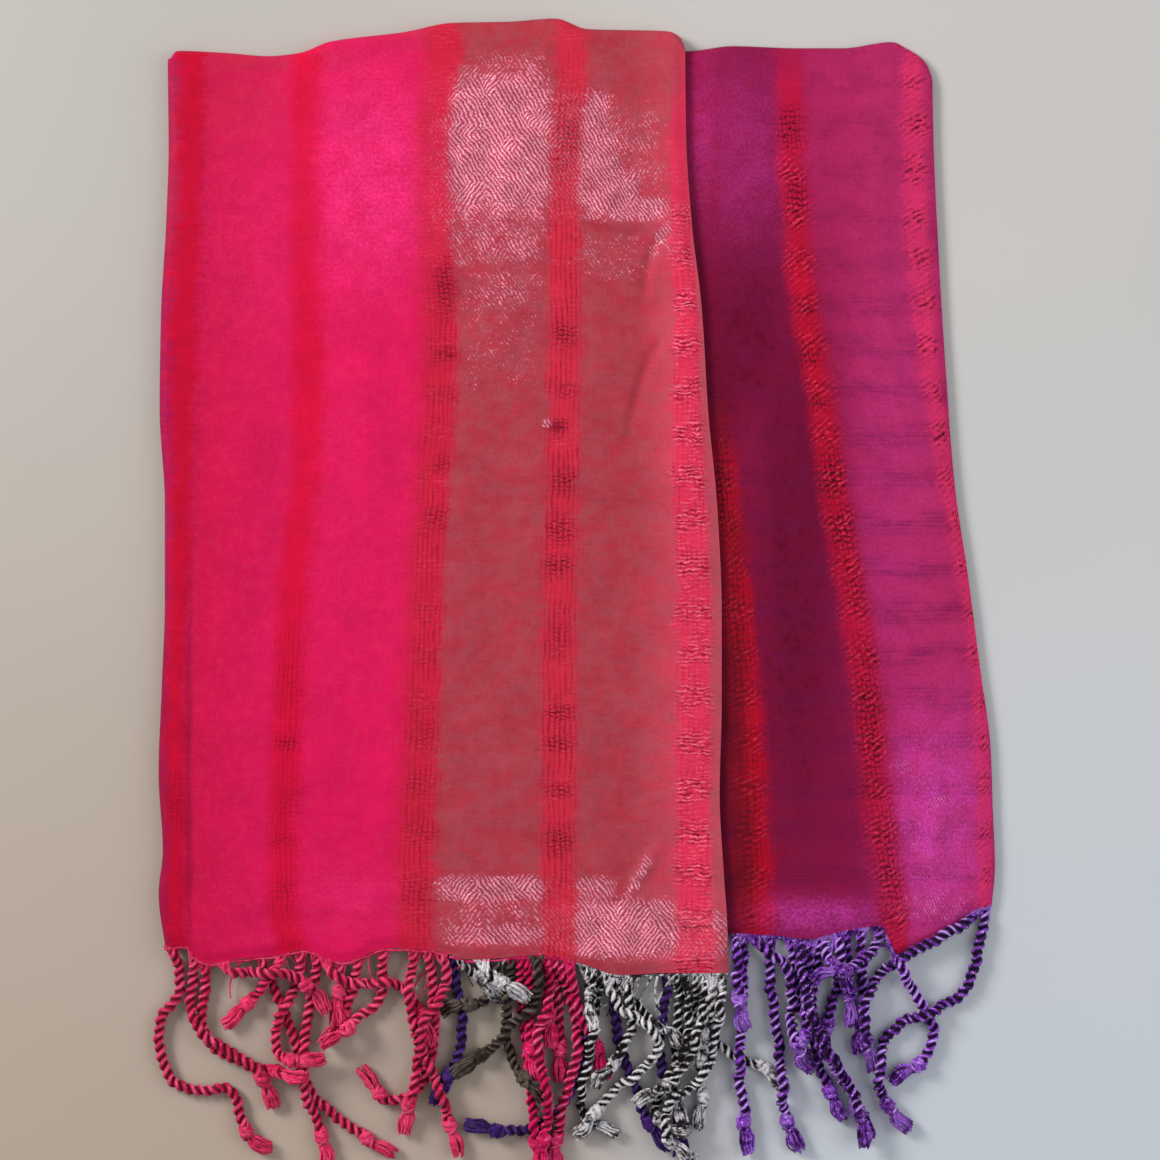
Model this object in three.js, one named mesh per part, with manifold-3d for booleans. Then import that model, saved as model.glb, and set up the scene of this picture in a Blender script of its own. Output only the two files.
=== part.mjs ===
// A striped shawl, folded once along its length and twice across it, lying flat with its
// twisted fringe spread out below. Millimetres, +Z up; the origin lies on the surface it rests
// on, under the middle of the whole. +Y runs from the fringe to the crosswise fold.

import * as THREE from 'three';
import { mergeVertices } from 'three/addons/utils/BufferGeometryUtils.js';
import Module from 'manifold-3d';

const wasm = await Module();
wasm.setup();

// ---------------------------------------------------------------- driving sizes

const WALL = 1.2;                 // thickness of one layer of cloth
const SEAM_GAP = 0.3;             // room between pieces that lie on each other
const UPPER_TOP_Z = 9.3;          // upper face of the top stretch
const LOWER_TOP_Z = 4.9;          // upper face of the stretch that shows beneath it
const FOLD_FOOT_Z = 0.4;          // how far above the table a fold's nose ends
const FOLD_ROUND = 4.6;           // how far a fold rounds in from its edge
const FOLD_ANGLES = [90, 60, 30, 0];

const EDGE_DROOP = 1.6;           // how far a cut edge or selvedge sags
const DROOP_REACH = 8;            // and over what width
const TUCK_WIDTH = 14;            // how far the lower stretch runs on under the upper one

const STRAND_RADIUS = 1.9;        // of a twisted strand
const STRAND_GAP = 0.4;           // kept where strands cross
const FLOOR_CLEARANCE = 0.4;      // under every strand
const ROOT_RADIUS = 1.1;          // of a strand where it leaves its strip
const ROOT_LENGTH = 4;            // over which it fills out
const ROOT_ZONE = 7;              // neighbours may touch up to here
const FALL_LENGTH = 10;           // over which a strand comes down from the hem
const CLIMB_SLOPE = 0.8;          // steepest rise of a strand over another
const HEADING_STEP = 15;          // length between two headings of a strand's table row
const BEND_PER_FACE = 34;         // degrees of turn for one straight piece of a strand
const LONGEST_FACE = 11;

const KNOT_RADIUS = 2.9;
const KNOT_LENGTH = 7;
const TUFT_LENGTH = 13;           // of loose ends past the knot
const TUFT_RADIUS = 2.5;
const TIP_RADIUS = 1.3;

const STRIP_WIDTH = 2.4;          // the strip that holds the roots
const STRIP_HEIGHT = 1.4;

// ---------------------------------------------------------------- outlines

// The fold on the left and the selvedge on the right of the upper stretch.
const UPPER_SIDES = [
  { y: 266, left: -195, right: 52 },
  { y: 226, left: -194.5, right: 52.5 },
  { y: 187, left: -196, right: 55 },
  { y: 144, left: -199.5, right: 60 },
  { y: 96, left: -200.5, right: 63 },
  { y: 48, left: -198, right: 67.5 },
  { y: 0, left: -198, right: 69.5 },
  { y: -43, left: -199.5, right: 69.5 },
  { y: -86, left: -201, right: 68.5 },
  { y: -125, left: -199, right: 70.5 },
  { y: -146, left: -201, right: 72 },
  { y: -172, left: -198, right: 73 },
];

const UPPER_TOP = [
  { x: -195, y: 260.5 },
  { x: -191.5, y: 264 },
  { x: -168, y: 263 },
  { x: -148, y: 261.5 },
  { x: -133, y: 263 },
  { x: -118, y: 268.5 },
  { x: -83, y: 273 },
  { x: -59, y: 277.5 },
  { x: -33, y: 278 },
  { x: -10, y: 279.5 },
  { x: 5, y: 274.5 },
  { x: 43, y: 273.5 },
  { x: 49.5, y: 271 },
  { x: 52, y: 266 },
];

const UPPER_HEM = [
  { x: -198, y: -166 },
  { x: -187, y: -165.5 },
  { x: -182, y: -171.5 },
  { x: -176, y: -174 },
  { x: -163, y: -172 },
  { x: -145, y: -170 },
  { x: -131, y: -167.5 },
  { x: -112, y: -173 },
  { x: -90, y: -166.5 },
  { x: -70, y: -167.5 },
  { x: -50, y: -172 },
  { x: -16, y: -170 },
  { x: 4, y: -174.5 },
  { x: 21, y: -179.5 },
  { x: 43, y: -178.5 },
  { x: 73, y: -178.5 },
];

// The lower stretch shows from the upper one's selvedge to its own, on the right.
const LOWER_SIDES = [
  { y: 252, right: 171 },
  { y: 226, right: 171.5 },
  { y: 173, right: 174 },
  { y: 117, right: 177.5 },
  { y: 65, right: 181.5 },
  { y: 17, right: 188 },
  { y: -27, right: 193.5 },
  { y: -71, right: 199 },
  { y: -100, right: 200 },
  { y: -127, right: 201 },
  { y: -146, right: 199.5 },
];

const LOWER_TOP = [
  { x: 36, y: 264 },
  { x: 53, y: 264 },
  { x: 75, y: 266.5 },
  { x: 107, y: 265.5 },
  { x: 128, y: 265.5 },
  { x: 152, y: 268.5 },
  { x: 158.5, y: 265.5 },
  { x: 165, y: 261.5 },
  { x: 169, y: 257 },
  { x: 171, y: 251.5 },
];

const LOWER_HEM = [
  { x: 54, y: -160.5 },
  { x: 74, y: -160.5 },
  { x: 94, y: -161 },
  { x: 112, y: -163 },
  { x: 121, y: -161 },
  { x: 137, y: -157.5 },
  { x: 147, y: -156.5 },
  { x: 151, y: -168 },
  { x: 156, y: -170.5 },
  { x: 167, y: -166 },
  { x: 179, y: -160.5 },
  { x: 185, y: -154 },
  { x: 190, y: -150 },
  { x: 199.5, y: -146.5 },
];

// Hidden layers, from the table up: each row is how far in from the stretch's outline they lie.
const UPPER_LAYERS = [
  { z: 0, left: 4, right: 18, top: 4.5, hem: 4 },
  { z: 1, left: 2.8, right: 18, top: 3.4, hem: 2.2 },
  { z: 2.6, left: 2.8, right: 18, top: 3.4, hem: 2.2 },
  { z: 2.6, left: 2.8, right: 18, top: 3.4, hem: 3.4 },
  { z: 5.2, left: 3.4, right: 18, top: 4.2, hem: 3.4 },
  { z: 5.2, left: 3.4, right: 1, top: 4.2, hem: 1 },
  { z: 6, left: 4, right: 1, top: 4.8, hem: 1 },
  { z: 6, left: 4, right: 9, top: 4.8, hem: 9 },
  { z: 7.8, left: 6.6, right: 9, top: 7, hem: 9 },
];

const LOWER_LAYERS = [
  { z: 0, left: -8, right: 3.2, top: 5, hem: 3.2 },
  { z: 0.8, left: -8, right: 2, top: 4, hem: 1.6 },
  { z: 0.8, left: -8, right: 1, top: 4, hem: 0.7 },
  { z: 1.8, left: -8, right: 1, top: 4, hem: 0.7 },
  { z: 1.8, left: -8, right: 9, top: 4.4, hem: 9 },
  { z: 3.4, left: -8, right: 9, top: 7, hem: 9 },
];

// ---------------------------------------------------------------- fringe tables

// A row for each strand: where its root lies along the hem, and which way it points, in
// degrees from straight down the table (+ to the right), at each HEADING_STEP of its length.
// Rows run from the strands that lie lowest to those that lie on top.
const UNDER_STRANDS = [
  { at: 7, headings: [-4, -4, -6, -13, -26, -46, -80, -102, -96] },
  { at: 18, headings: [-3, 4, 11, 24, 15, 34, 46] },
  { at: -60, headings: [6, 14, 4, -14, -32, -18] },
  { at: 44, headings: [-2, -12, -6, 14, 24, 8, -12] },
];

const MIDDLE_STRANDS = [
  { at: -27, headings: [-3, 2, 8, 8, 4, 6, 9, 6] },
  { at: -24, headings: [10, 4, -4, 4, 10] },
  { at: -38, headings: [0, -22, -105, -30] },
  { at: -56, headings: [38, 58, 28] },
  { at: -31, headings: [-5, -6, -5, 18, 50, 38] },
  { at: -10, headings: [0, 4, 5, -3, 1] },
  { at: -22, headings: [17, 22, 10, -8] },
  { at: -19, headings: [8, -3, -58, -32, -62, -48] },
  { at: -46, headings: [32, 68, 38] },
  { at: -7, headings: [2, 18, 13, -8, -21, -10, -8, -4] },
  { at: -3, headings: [4, 12, 28, 20, 10] },
  { at: -14, headings: [6, 2, -28, 12, 13, -3, -15, -5] },
];

const PINK_STRANDS = [
  { at: -151, headings: [20, 24, 22, 14, 16, 46, 55, 58, 58] },
  { at: -104, headings: [-15, -14, -24, -50] },
  { at: -124, headings: [-8, -12, -8, -3, 2, 26, 16, 8] },
  { at: -113, headings: [-6, -5, 2] },
  { at: -178, headings: [6, -14, 10, 60, 70, 84, 80] },
  { at: -141, headings: [-28, -38, -42, -52] },
  { at: -71, headings: [7, 6, 3, -9, -20, -62, -146, -147] },
  { at: -92, headings: [-18, 8, -52, -54, -50] },
  { at: -183, headings: [-8, -8, 24, 61, 61, 25, 8] },
  { at: -194, headings: [24, 4, -46, 4, 16, 70, 106, 6, 30, 95] },
  { at: -132, headings: [-2, -18, -32, 2, 95, 100] },
  { at: -121, headings: [20, 68, 104, 45, 20, 28] },
  { at: -170, headings: [55, 97, 80, 46, 26] },
  { at: -77.5, headings: [-12, -8, 16, 6, -11, -13, -8] },
  { at: -65.5, headings: [38, -15, -44, 8, 28, 14, 18, 12] },
];

const GREY_STRANDS = [
  { at: 11, headings: [-4, -6, -9, -12, -12, 58, 84] },
  { at: 48, headings: [6, 2, -4, -8, 12, 30] },
  { at: 25, headings: [-12, 42, 56, 48] },
  { at: 57, headings: [-3, -2, 8, 8, -3, -14] },
  { at: 59.5, headings: [22, -10, 4, -14] },
  { at: 52.5, headings: [6, 4, -10, -34, -30, 40, 120] },
  { at: 62, headings: [-2, -8, -16, -34, -58, -60] },
  { at: 3.5, headings: [40, -12, 26] },
  { at: 21, headings: [30, 10, -20, -44, -30] },
  { at: 65, headings: [0, -4, 20, 74, 58, 22] },
  { at: 15, headings: [-4, 44, 66, -10, -60, -46, -36, -50] },
  { at: 69.5, headings: [6, -10, -9, -22, -68, -15, 42, 60] },
];

const PURPLE_STRANDS = [
  { at: 79.5, headings: [4, 0, -3, -2, -4, 12, 0, 16] },
  { at: 93, headings: [-4, 2, 8, 8, 6, 0, 22, 25] },
  { at: 117, headings: [-6, -10, -4, 6, 18, 26, 20] },
  { at: 137, headings: [-4, 4, 2, -12, 0] },
  { at: 129.5, headings: [3, 4, 2, 6] },
  { at: 126, headings: [6, -4, -16, -14, 4] },
  { at: 103, headings: [6, 8, 16, 28, 33, 32, 22, 8] },
  { at: 113, headings: [-16, 0, -5, -6, 0] },
  { at: 107, headings: [4, 6, 14, 27, 32, 29, 14, -4] },
  { at: 76, headings: [4, 2, 6, 18] },
  { at: 84, headings: [50, 54, 4, -2, 22, 44] },
  { at: 121, headings: [-35, 60, -10] },
  { at: 146, headings: [-4, -52, -86, -50] },
  { at: 192, headings: [-52, -62, -61, -58, -34, -4, 14, 20] },
  { at: 153, headings: [25, 28, 35, -8, -60, -48] },
  { at: 196.5, headings: [-6, -14, -12, -52, -74, -60, -14, 0, 40, 42] },
];

// ---------------------------------------------------------------- small tools

const radians = THREE.MathUtils.degToRad;
const mix = THREE.MathUtils.lerp;
const soft = (t) => THREE.MathUtils.smoothstep(t, 0, 1);

/** A smooth curve through a table's rows that never swings past them. */
function through(rows, key, value) {
  const sorted = [...rows].sort((a, b) => a[key] - b[key]);
  const at = sorted.map((row) => row[key]);
  const to = sorted.map((row) => row[value]);
  const slope = at.slice(1).map((t, i) => (to[i + 1] - to[i]) / (t - at[i]));
  const lean = at.map((_, i) => {
    const before = slope[Math.max(i - 1, 0)];
    const after = slope[Math.min(i, slope.length - 1)];
    return before * after <= 0 ? 0 : (2 * before * after) / (before + after);
  });
  return (t) => {
    const clamped = THREE.MathUtils.clamp(t, at[0], at.at(-1));
    let i = 0;
    while (i < at.length - 2 && clamped > at[i + 1]) i += 1;
    const width = at[i + 1] - at[i];
    const s = (clamped - at[i]) / width;
    return (1 + 2 * s) * (1 - s) ** 2 * to[i] + s * (1 - s) ** 2 * width * lean[i]
      + s * s * (3 - 2 * s) * to[i + 1] + s * s * (s - 1) * width * lean[i + 1];
  };
}

/** A closed body from its points and triangles, turned to face outwards. */
function closedBody(points, triangles) {
  const geometry = new THREE.BufferGeometry();
  geometry.setAttribute('position', new THREE.Float32BufferAttribute(points.flat(), 3));
  const [a, b, c] = [new THREE.Vector3(), new THREE.Vector3(), new THREE.Vector3()];
  const volume = triangles.reduce((sum, [i, j, k]) => {
    a.fromArray(points[i]);
    b.fromArray(points[j]);
    c.fromArray(points[k]);
    return sum + a.dot(b.cross(c)) / 6;
  }, 0);
  const facing = volume > 0 ? triangles : triangles.map(([i, j, k]) => [i, k, j]);
  geometry.setIndex(facing.flat());
  return geometry;
}

/** The two triangles of a four-cornered face. */
const quad = (a, b, c, d) => [[a, b, c], [a, c, d]];

/** Rings of equal count joined into a tube, each end closed by a fan from its middle. */
function loft(rings) {
  const count = rings[0].length;
  const points = rings.flat();
  const triangles = [];
  for (let r = 0; r < rings.length - 1; r += 1) {
    for (let i = 0; i < count; i += 1) {
      const next = (i + 1) % count;
      const [low, high] = [r * count, (r + 1) * count];
      triangles.push(...quad(low + i, low + next, high + next, high + i));
    }
  }
  const middle = (ring) => [0, 1, 2].map((axis) => ring.reduce((s, p) => s + p[axis], 0) / count);
  const last = (rings.length - 1) * count;
  points.push(middle(rings[0]), middle(rings.at(-1)));
  for (let i = 0; i < count; i += 1) {
    const next = (i + 1) % count;
    triangles.push([points.length - 2, next, i], [points.length - 1, last + i, last + next]);
  }
  return closedBody(points, triangles);
}

function toSolid(geometry) {
  const merged = mergeVertices(geometry, 1e-5);
  return new wasm.Manifold(new wasm.Mesh({
    numProp: 3,
    vertProperties: Float32Array.from(merged.attributes.position.array),
    triVerts: Uint32Array.from(merged.index.array),
  }));
}

function joined(geometries) {
  const mesh = wasm.Manifold.union(geometries.map(toSolid)).getMesh();
  const geometry = new THREE.BufferGeometry();
  geometry.setAttribute('position', new THREE.BufferAttribute(mesh.vertProperties, 3));
  geometry.setIndex(new THREE.BufferAttribute(mesh.triVerts, 1));
  return geometry;
}

// ---------------------------------------------------------------- stretches of cloth

/** Outline of a stretch: its four edges as curves, and the table rows that space its points. */
function outline({ left, right, top, hem, sides, hemRows }) {
  const ys = sides.map((row) => row.y);
  return { left, right, top, hem, lowY: Math.min(...ys), highY: Math.max(...ys), sides, hemRows };
}

const upperRight = through(UPPER_SIDES, 'y', 'right');
const UPPER = outline({
  left: through(UPPER_SIDES, 'y', 'left'),
  right: upperRight,
  top: through(UPPER_TOP, 'x', 'y'),
  hem: through(UPPER_HEM, 'x', 'y'),
  sides: UPPER_SIDES,
  hemRows: UPPER_HEM,
});
const LOWER = outline({
  left: (y) => upperRight(y) - TUCK_WIDTH,
  right: through(LOWER_SIDES, 'y', 'right'),
  top: through(LOWER_TOP, 'x', 'y'),
  hem: through(LOWER_HEM, 'x', 'y'),
  sides: LOWER_SIDES,
  hemRows: LOWER_HEM,
});

/** How far the cloth sags at a distance from a free edge. */
const droop = (distance) => EDGE_DROOP * (1 - soft(distance / DROOP_REACH)) ** 2;

/** Fractions across a stretch at its hem's table rows, with one between rows that lie apart. */
function hemFractions(shape, widest, foldRound = 0) {
  const [from, to] = [shape.left(shape.lowY) + foldRound, shape.right(shape.lowY)];
  const inside = shape.hemRows.map((row) => row.x).filter((x) => x > from + 3 && x < to - 3);
  const stops = [from, ...inside, to - DROOP_REACH, to - DROOP_REACH / 2, to].sort((a, b) => a - b);
  const spaced = stops.flatMap((x, i) => (i > 0 && x - stops[i - 1] > widest
    ? [(x + stops[i - 1]) / 2, x] : [x]));
  return spaced.map((x) => (x - from) / (to - from));
}

/** Fractions up a stretch at its sides' table rows, with the two that shape the hem's sag. */
function sideFractions(shape) {
  const height = shape.highY - shape.lowY;
  const inside = shape.sides.map((row) => (row.y - shape.lowY) / height).filter((v) => v > 0.05 && v < 0.97);
  return [0, DROOP_REACH / 2 / height, DROOP_REACH / height, ...inside, 1].sort((a, b) => a - b);
}

/**
 * A point of a stretch's face. column.roll and row.roll are the angles round the side fold and
 * the top fold, and inset moves the face in towards the hidden layers.
 */
function facePoint(shape, topZ, column, row, inset, foldedLeft) {
  const y0 = mix(shape.lowY, shape.highY, row.v);
  const round = FOLD_ROUND - inset;
  const left = shape.left(y0) + (foldedLeft ? inset : 0);
  const flatLeft = foldedLeft ? left + round : left;
  const right = shape.right(y0);
  const x = column.roll > 0
    ? left + round * (1 - Math.sin(radians(column.roll)))
    : mix(flatLeft, right, column.u);
  const top = shape.top(x) - inset;
  const y = row.roll > 0
    ? top - round * (1 - Math.sin(radians(row.roll)))
    : mix(shape.hem(x), top - round, row.v);
  const height = topZ - inset - FOLD_FOOT_Z;
  const sag = Math.max(droop(right - x), droop(y - shape.hem(x))) * Math.cos(radians(row.roll));
  const fallen = height * (1 - Math.cos(radians(column.roll)) * Math.cos(radians(row.roll)));
  return [x, y, topZ - inset - fallen - sag * Math.cos(radians(column.roll))];
}

/** The grid of columns and rows that a stretch's two faces share. */
function grid(shape, foldedLeft, widest) {
  const flat = hemFractions(shape, widest, foldedLeft ? FOLD_ROUND : 0).map((u) => ({ u, roll: 0 }));
  const rolled = FOLD_ANGLES.filter((angle) => angle > 0).map((roll) => ({ u: 0, roll }));
  const level = sideFractions(shape).map((v) => ({ v, roll: 0 }));
  const topFold = [...FOLD_ANGLES].reverse().filter((angle) => angle > 0).map((roll) => ({ v: 1, roll }));
  return { columns: foldedLeft ? [...rolled, ...flat] : flat, rows: [...level, ...topFold] };
}

/** A stretch of cloth as one closed wall: its face, its back, and the rim that joins them. */
function stretch(shape, topZ, foldedLeft, widest) {
  const { columns, rows } = grid(shape, foldedLeft, widest);
  const wide = columns.length;
  const layer = (inset) => rows.flatMap((row) => columns.map((column) => (
    facePoint(shape, topZ, column, row, inset, foldedLeft))));
  const points = [...layer(0), ...layer(WALL)];
  const back = wide * rows.length;
  const at = (c, r) => r * wide + c;
  const triangles = [];
  for (let r = 0; r < rows.length - 1; r += 1) {
    for (let c = 0; c < wide - 1; c += 1) {
      const corners = [at(c, r), at(c + 1, r), at(c + 1, r + 1), at(c, r + 1)];
      triangles.push(...quad(...corners));
      triangles.push(...quad(...corners.map((i) => i + back).reverse()));
    }
  }
  const rim = [
    ...columns.slice(0, -1).map((_, c) => at(c, 0)),
    ...rows.slice(0, -1).map((_, r) => at(wide - 1, r)),
    ...columns.slice(1).map((_, c) => at(wide - 1 - c, rows.length - 1)),
    ...rows.slice(1).map((_, r) => at(0, rows.length - 1 - r)),
  ];
  rim.forEach((a, i) => {
    const b = rim[(i + 1) % rim.length];
    triangles.push(...quad(a + back, b + back, b, a));
  });
  return closedBody(points, triangles);
}

/** One ring round a stretch, each side moved in by its own amount, at height z. */
function layerRing(shape, { z, left, right, top, hem }) {
  const rows = sideFractions(shape).filter((v) => v === 0 || v > 0.05);
  const side = (v) => mix(shape.lowY, shape.highY, v);
  const columns = hemFractions(shape, Infinity);
  const corner = (u, v) => {
    const x = mix(shape.left(side(v)) + left, shape.right(side(v)) - right, u);
    return [x, mix(shape.hem(x) + hem, shape.top(x) - top, v), z];
  };
  return [
    ...columns.slice(0, -1).map((u) => corner(u, 0)),
    ...rows.slice(0, -1).map((v) => corner(1, v)),
    ...columns.slice(1).reverse().map((u) => corner(u, 1)),
    ...rows.slice(1).reverse().map((v) => corner(0, v)),
  ];
}

function innerLayers() {
  return joined([
    loft(UPPER_LAYERS.map((row) => layerRing(UPPER, row))),
    loft(LOWER_LAYERS.map((row) => layerRing(LOWER, row))),
  ]);
}

// ---------------------------------------------------------------- fringe

/** A strand's way over the table, in even steps of about a millimetre. */
function strandWay(hem, { at, headings }) {
  const length = HEADING_STEP * (headings.length - 1);
  const heading = (s) => {
    const i = Math.min(Math.floor(s / HEADING_STEP), headings.length - 2);
    return radians(mix(headings[i], headings[i + 1], s / HEADING_STEP - i));
  };
  const way = [{ x: at, y: hem(at) - SEAM_GAP - STRIP_WIDTH / 2, s: 0, heading: heading(0) }];
  for (let s = 1; s <= length; s += 1) {
    const { x, y } = way.at(-1);
    const turn = heading(s - 0.5);
    way.push({ x: x + Math.sin(turn), y: y - Math.cos(turn), s, heading: turn });
  }
  return way;
}

/** A strand's radius: thin at its root, full, then its knot and its loose ends. */
function strandRadius(s, length) {
  const knot = length - TUFT_LENGTH - KNOT_LENGTH;
  const profile = through([
    { s: 0, r: ROOT_RADIUS },
    { s: ROOT_LENGTH, r: STRAND_RADIUS },
    { s: knot, r: STRAND_RADIUS },
    { s: knot + KNOT_LENGTH / 2, r: KNOT_RADIUS },
    { s: knot + KNOT_LENGTH, r: STRAND_RADIUS },
    { s: length - TUFT_LENGTH / 3, r: TUFT_RADIUS },
    { s: length, r: TIP_RADIUS },
  ], 's', 'r');
  return profile(s);
}

/** Where a strand gets its corners: at its root, knot and end, and wherever it has turned enough. */
function strandStops(way) {
  const length = way.at(-1).s;
  const knot = Math.round(length - TUFT_LENGTH - KNOT_LENGTH);
  const fixed = [0, ROOT_LENGTH, knot, knot + KNOT_LENGTH / 2, knot + KNOT_LENGTH,
    length - TUFT_LENGTH / 3, length].map(Math.round);
  const stops = [];
  let turned = 0;
  let since = 0;
  way.forEach((step, i) => {
    turned += i > 0 ? Math.abs(step.heading - way[i - 1].heading) : 0;
    since += 1;
    const free = step.s > ROOT_LENGTH && step.s < knot - 3;
    if (fixed.includes(step.s) || (free && (turned > radians(BEND_PER_FACE) || since >= LONGEST_FACE))) {
      stops.push({ ...step });
      turned = 0;
      since = 0;
    }
  });
  return stops;
}

/** Points about a millimetre apart along the straight pieces between a strand's stops. */
function chordPoints(stops, length) {
  return stops.slice(1).flatMap((stop, i) => {
    const start = stops[i];
    const count = Math.max(2, Math.ceil(stop.s - start.s));
    return Array.from({ length: count }, (_, k) => {
      const t = k / count;
      const s = mix(start.s, stop.s, t);
      return { x: mix(start.x, stop.x, t), y: mix(start.y, stop.y, t), s, t, i, r: strandRadius(s, length) };
    });
  });
}

/** The height that a strand needs at one point to clear the table, the hems and other strands. */
function neededHeight(point, fringe, placed) {
  let need = FLOOR_CLEARANCE + point.r;
  fringe.clears.forEach((hem) => {
    const reach = STRIP_WIDTH + 2 * SEAM_GAP + point.r;
    const over = point.x > hem.from - reach && point.x < hem.to + reach
      && point.y > hem.curve(point.x) - reach;
    const own = hem === fringe.hem && point.s < ROOT_ZONE;
    if (over && !own) need = Math.max(need, hem.z + STRIP_HEIGHT / 2 + SEAM_GAP + point.r);
  });
  placed.forEach((other) => {
    if (other.hem === fringe.hem && other.s < ROOT_ZONE && point.s < ROOT_ZONE) return;
    const room = other.r + point.r + STRAND_GAP;
    const apart = Math.hypot(other.x - point.x, other.y - point.y);
    if (apart < room) need = Math.max(need, other.z + Math.sqrt(room ** 2 - apart ** 2));
  });
  return need;
}

/** Heights of a strand's stops, so that it comes down from the hem and climbs over what it crosses. */
function layStrand(fringe, row, placed) {
  const way = strandWay(fringe.hem.curve, row);
  const length = way.at(-1).s;
  const stops = strandStops(way);
  const points = chordPoints(stops, length);
  const needs = points.map((point) => neededHeight(point, fringe, placed));
  stops.forEach((stop) => {
    const rest = FLOOR_CLEARANCE + strandRadius(stop.s, length);
    const fall = mix(fringe.hem.z, rest, soft(stop.s / FALL_LENGTH));
    const climbs = points.map((point, k) => (
      needs[k] - CLIMB_SLOPE * Math.max(0, Math.abs(point.s - stop.s) - 1)));
    stop.r = strandRadius(stop.s, length);
    stop.z = stop.s === 0 ? fringe.hem.z : Math.max(fall, rest, ...climbs);
  });
  points.forEach((point, k) => {
    const [start, end] = [stops[point.i], stops[point.i + 1]];
    const short = needs[k] - mix(start.z, end.z, point.t);
    if (short > 0 && point.s >= ROOT_LENGTH) {
      start.z += start.s === 0 ? 0 : short;
      end.z += short;
    }
  });
  points.forEach((point) => {
    placed.push({ ...point, z: mix(stops[point.i].z, stops[point.i + 1].z, point.t), hem: fringe.hem });
  });
  return stops;
}

/** A four-sided tube through a strand's stops. */
function strandTube(stops) {
  const at = stops.map(({ x, y, z }) => new THREE.Vector3(x, y, z));
  return loft(stops.map(({ r }, i) => {
    const along = at[Math.min(i + 1, at.length - 1)].clone().sub(at[Math.max(i - 1, 0)]).normalize();
    const side = along.clone().cross(new THREE.Vector3(0, 0, 1)).normalize().multiplyScalar(r);
    const up = side.clone().cross(along).normalize().multiplyScalar(r);
    return [side, up, side.clone().negate(), up.clone().negate()]
      .map((offset) => at[i].clone().add(offset).toArray());
  }));
}

/** The narrow strip along a hem, a seam's width out from the cloth's own points. */
function rootStrip({ shape, from, to, z, widest, foldedLeft, topZ }) {
  const { columns, rows } = grid(shape, foldedLeft, widest);
  const edge = columns.map((column) => facePoint(shape, topZ, column, rows[0], 0, foldedLeft));
  const inside = edge.filter(([x]) => x > from && x < to);
  const heightAt = (x) => {
    const i = Math.max(1, edge.findIndex((point) => point[0] >= x));
    return mix(edge[i - 1][1], edge[i][1], (x - edge[i - 1][0]) / (edge[i][0] - edge[i - 1][0]));
  };
  const line = [[from, heightAt(from)], ...inside, [to, heightAt(to)]];
  return loft(line.map(([x, y], i) => {
    const [before, after] = [line[Math.max(i - 1, 0)], line[Math.min(i + 1, line.length - 1)]];
    const out = new THREE.Vector2(after[1] - before[1], before[0] - after[0]).normalize();
    const corner = (distance, height) => [x + out.x * distance, y + out.y * distance, z + height];
    const [near, far] = [SEAM_GAP * 1.3, SEAM_GAP * 1.3 + STRIP_WIDTH];
    return [corner(near, -STRIP_HEIGHT / 2), corner(far, -STRIP_HEIGHT / 2),
      corner(far, STRIP_HEIGHT / 2), corner(near, STRIP_HEIGHT / 2)];
  }));
}

// ---------------------------------------------------------------- the shawl

const UPPER_COLUMN_WIDTH = 14;
const LOWER_COLUMN_WIDTH = 14;
const UPPER_EDGE_Z = UPPER_TOP_Z - EDGE_DROOP - WALL / 2;
const MIDDLE = { x: -1.1, y: 1.4 };   // of the whole, in the tables' measure
const LOWER_EDGE_Z = LOWER_TOP_Z - EDGE_DROOP - WALL / 2;
const UNDER_EDGE_Z = 2.9;

const upperHem = { curve: UPPER.hem, from: -198, to: 73, z: UPPER_EDGE_Z };
const lowerHem = { curve: LOWER.hem, from: 75, to: 199, z: LOWER_EDGE_Z };
const underHem = { curve: UPPER.hem, from: -62, to: 46, z: UNDER_EDGE_Z };
const openHems = [upperHem, lowerHem];

const upperStrip = { shape: UPPER, foldedLeft: true, topZ: UPPER_TOP_Z, widest: UPPER_COLUMN_WIDTH };
const lowerStrip = { shape: LOWER, foldedLeft: false, topZ: LOWER_TOP_Z, widest: LOWER_COLUMN_WIDTH };

// From the strands that lie lowest to those on top.
const FRINGES = [
  { name: 'under_fringe', hem: underHem, clears: [], strands: UNDER_STRANDS, color: 0x3a1a5e, strip: { ...upperStrip, from: -63, to: 47 } },
  { name: 'middle_fringe', hem: upperHem, clears: openHems, strands: MIDDLE_STRANDS, color: 0x8a4a58, strip: { ...upperStrip, from: -61, to: -1.2 } },
  { name: 'pink_fringe', hem: upperHem, clears: openHems, strands: PINK_STRANDS, color: 0xa01648, strip: { ...upperStrip, from: -197.5, to: -61.8 } },
  { name: 'grey_fringe', hem: upperHem, clears: openHems, strands: GREY_STRANDS, color: 0x9a8f98, strip: { ...upperStrip, from: -0.4, to: 72.5 } },
  { name: 'purple_fringe', hem: lowerHem, clears: openHems, strands: PURPLE_STRANDS, color: 0x4a1f8a, strip: { ...lowerStrip, from: 75, to: 199 } },
];

function fringeBody(fringe, placed) {
  const tubes = fringe.strands.map((row) => strandTube(layStrand(fringe, row, placed)));
  return joined([rootStrip({ ...fringe.strip, z: fringe.hem.z }), ...tubes]);
}

function piece(name, geometry, color) {
  const material = new THREE.MeshStandardMaterial({ color, roughness: 0.8, metalness: 0 });
  const mesh = new THREE.Mesh(geometry, material);
  mesh.name = name;
  return mesh;
}

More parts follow.
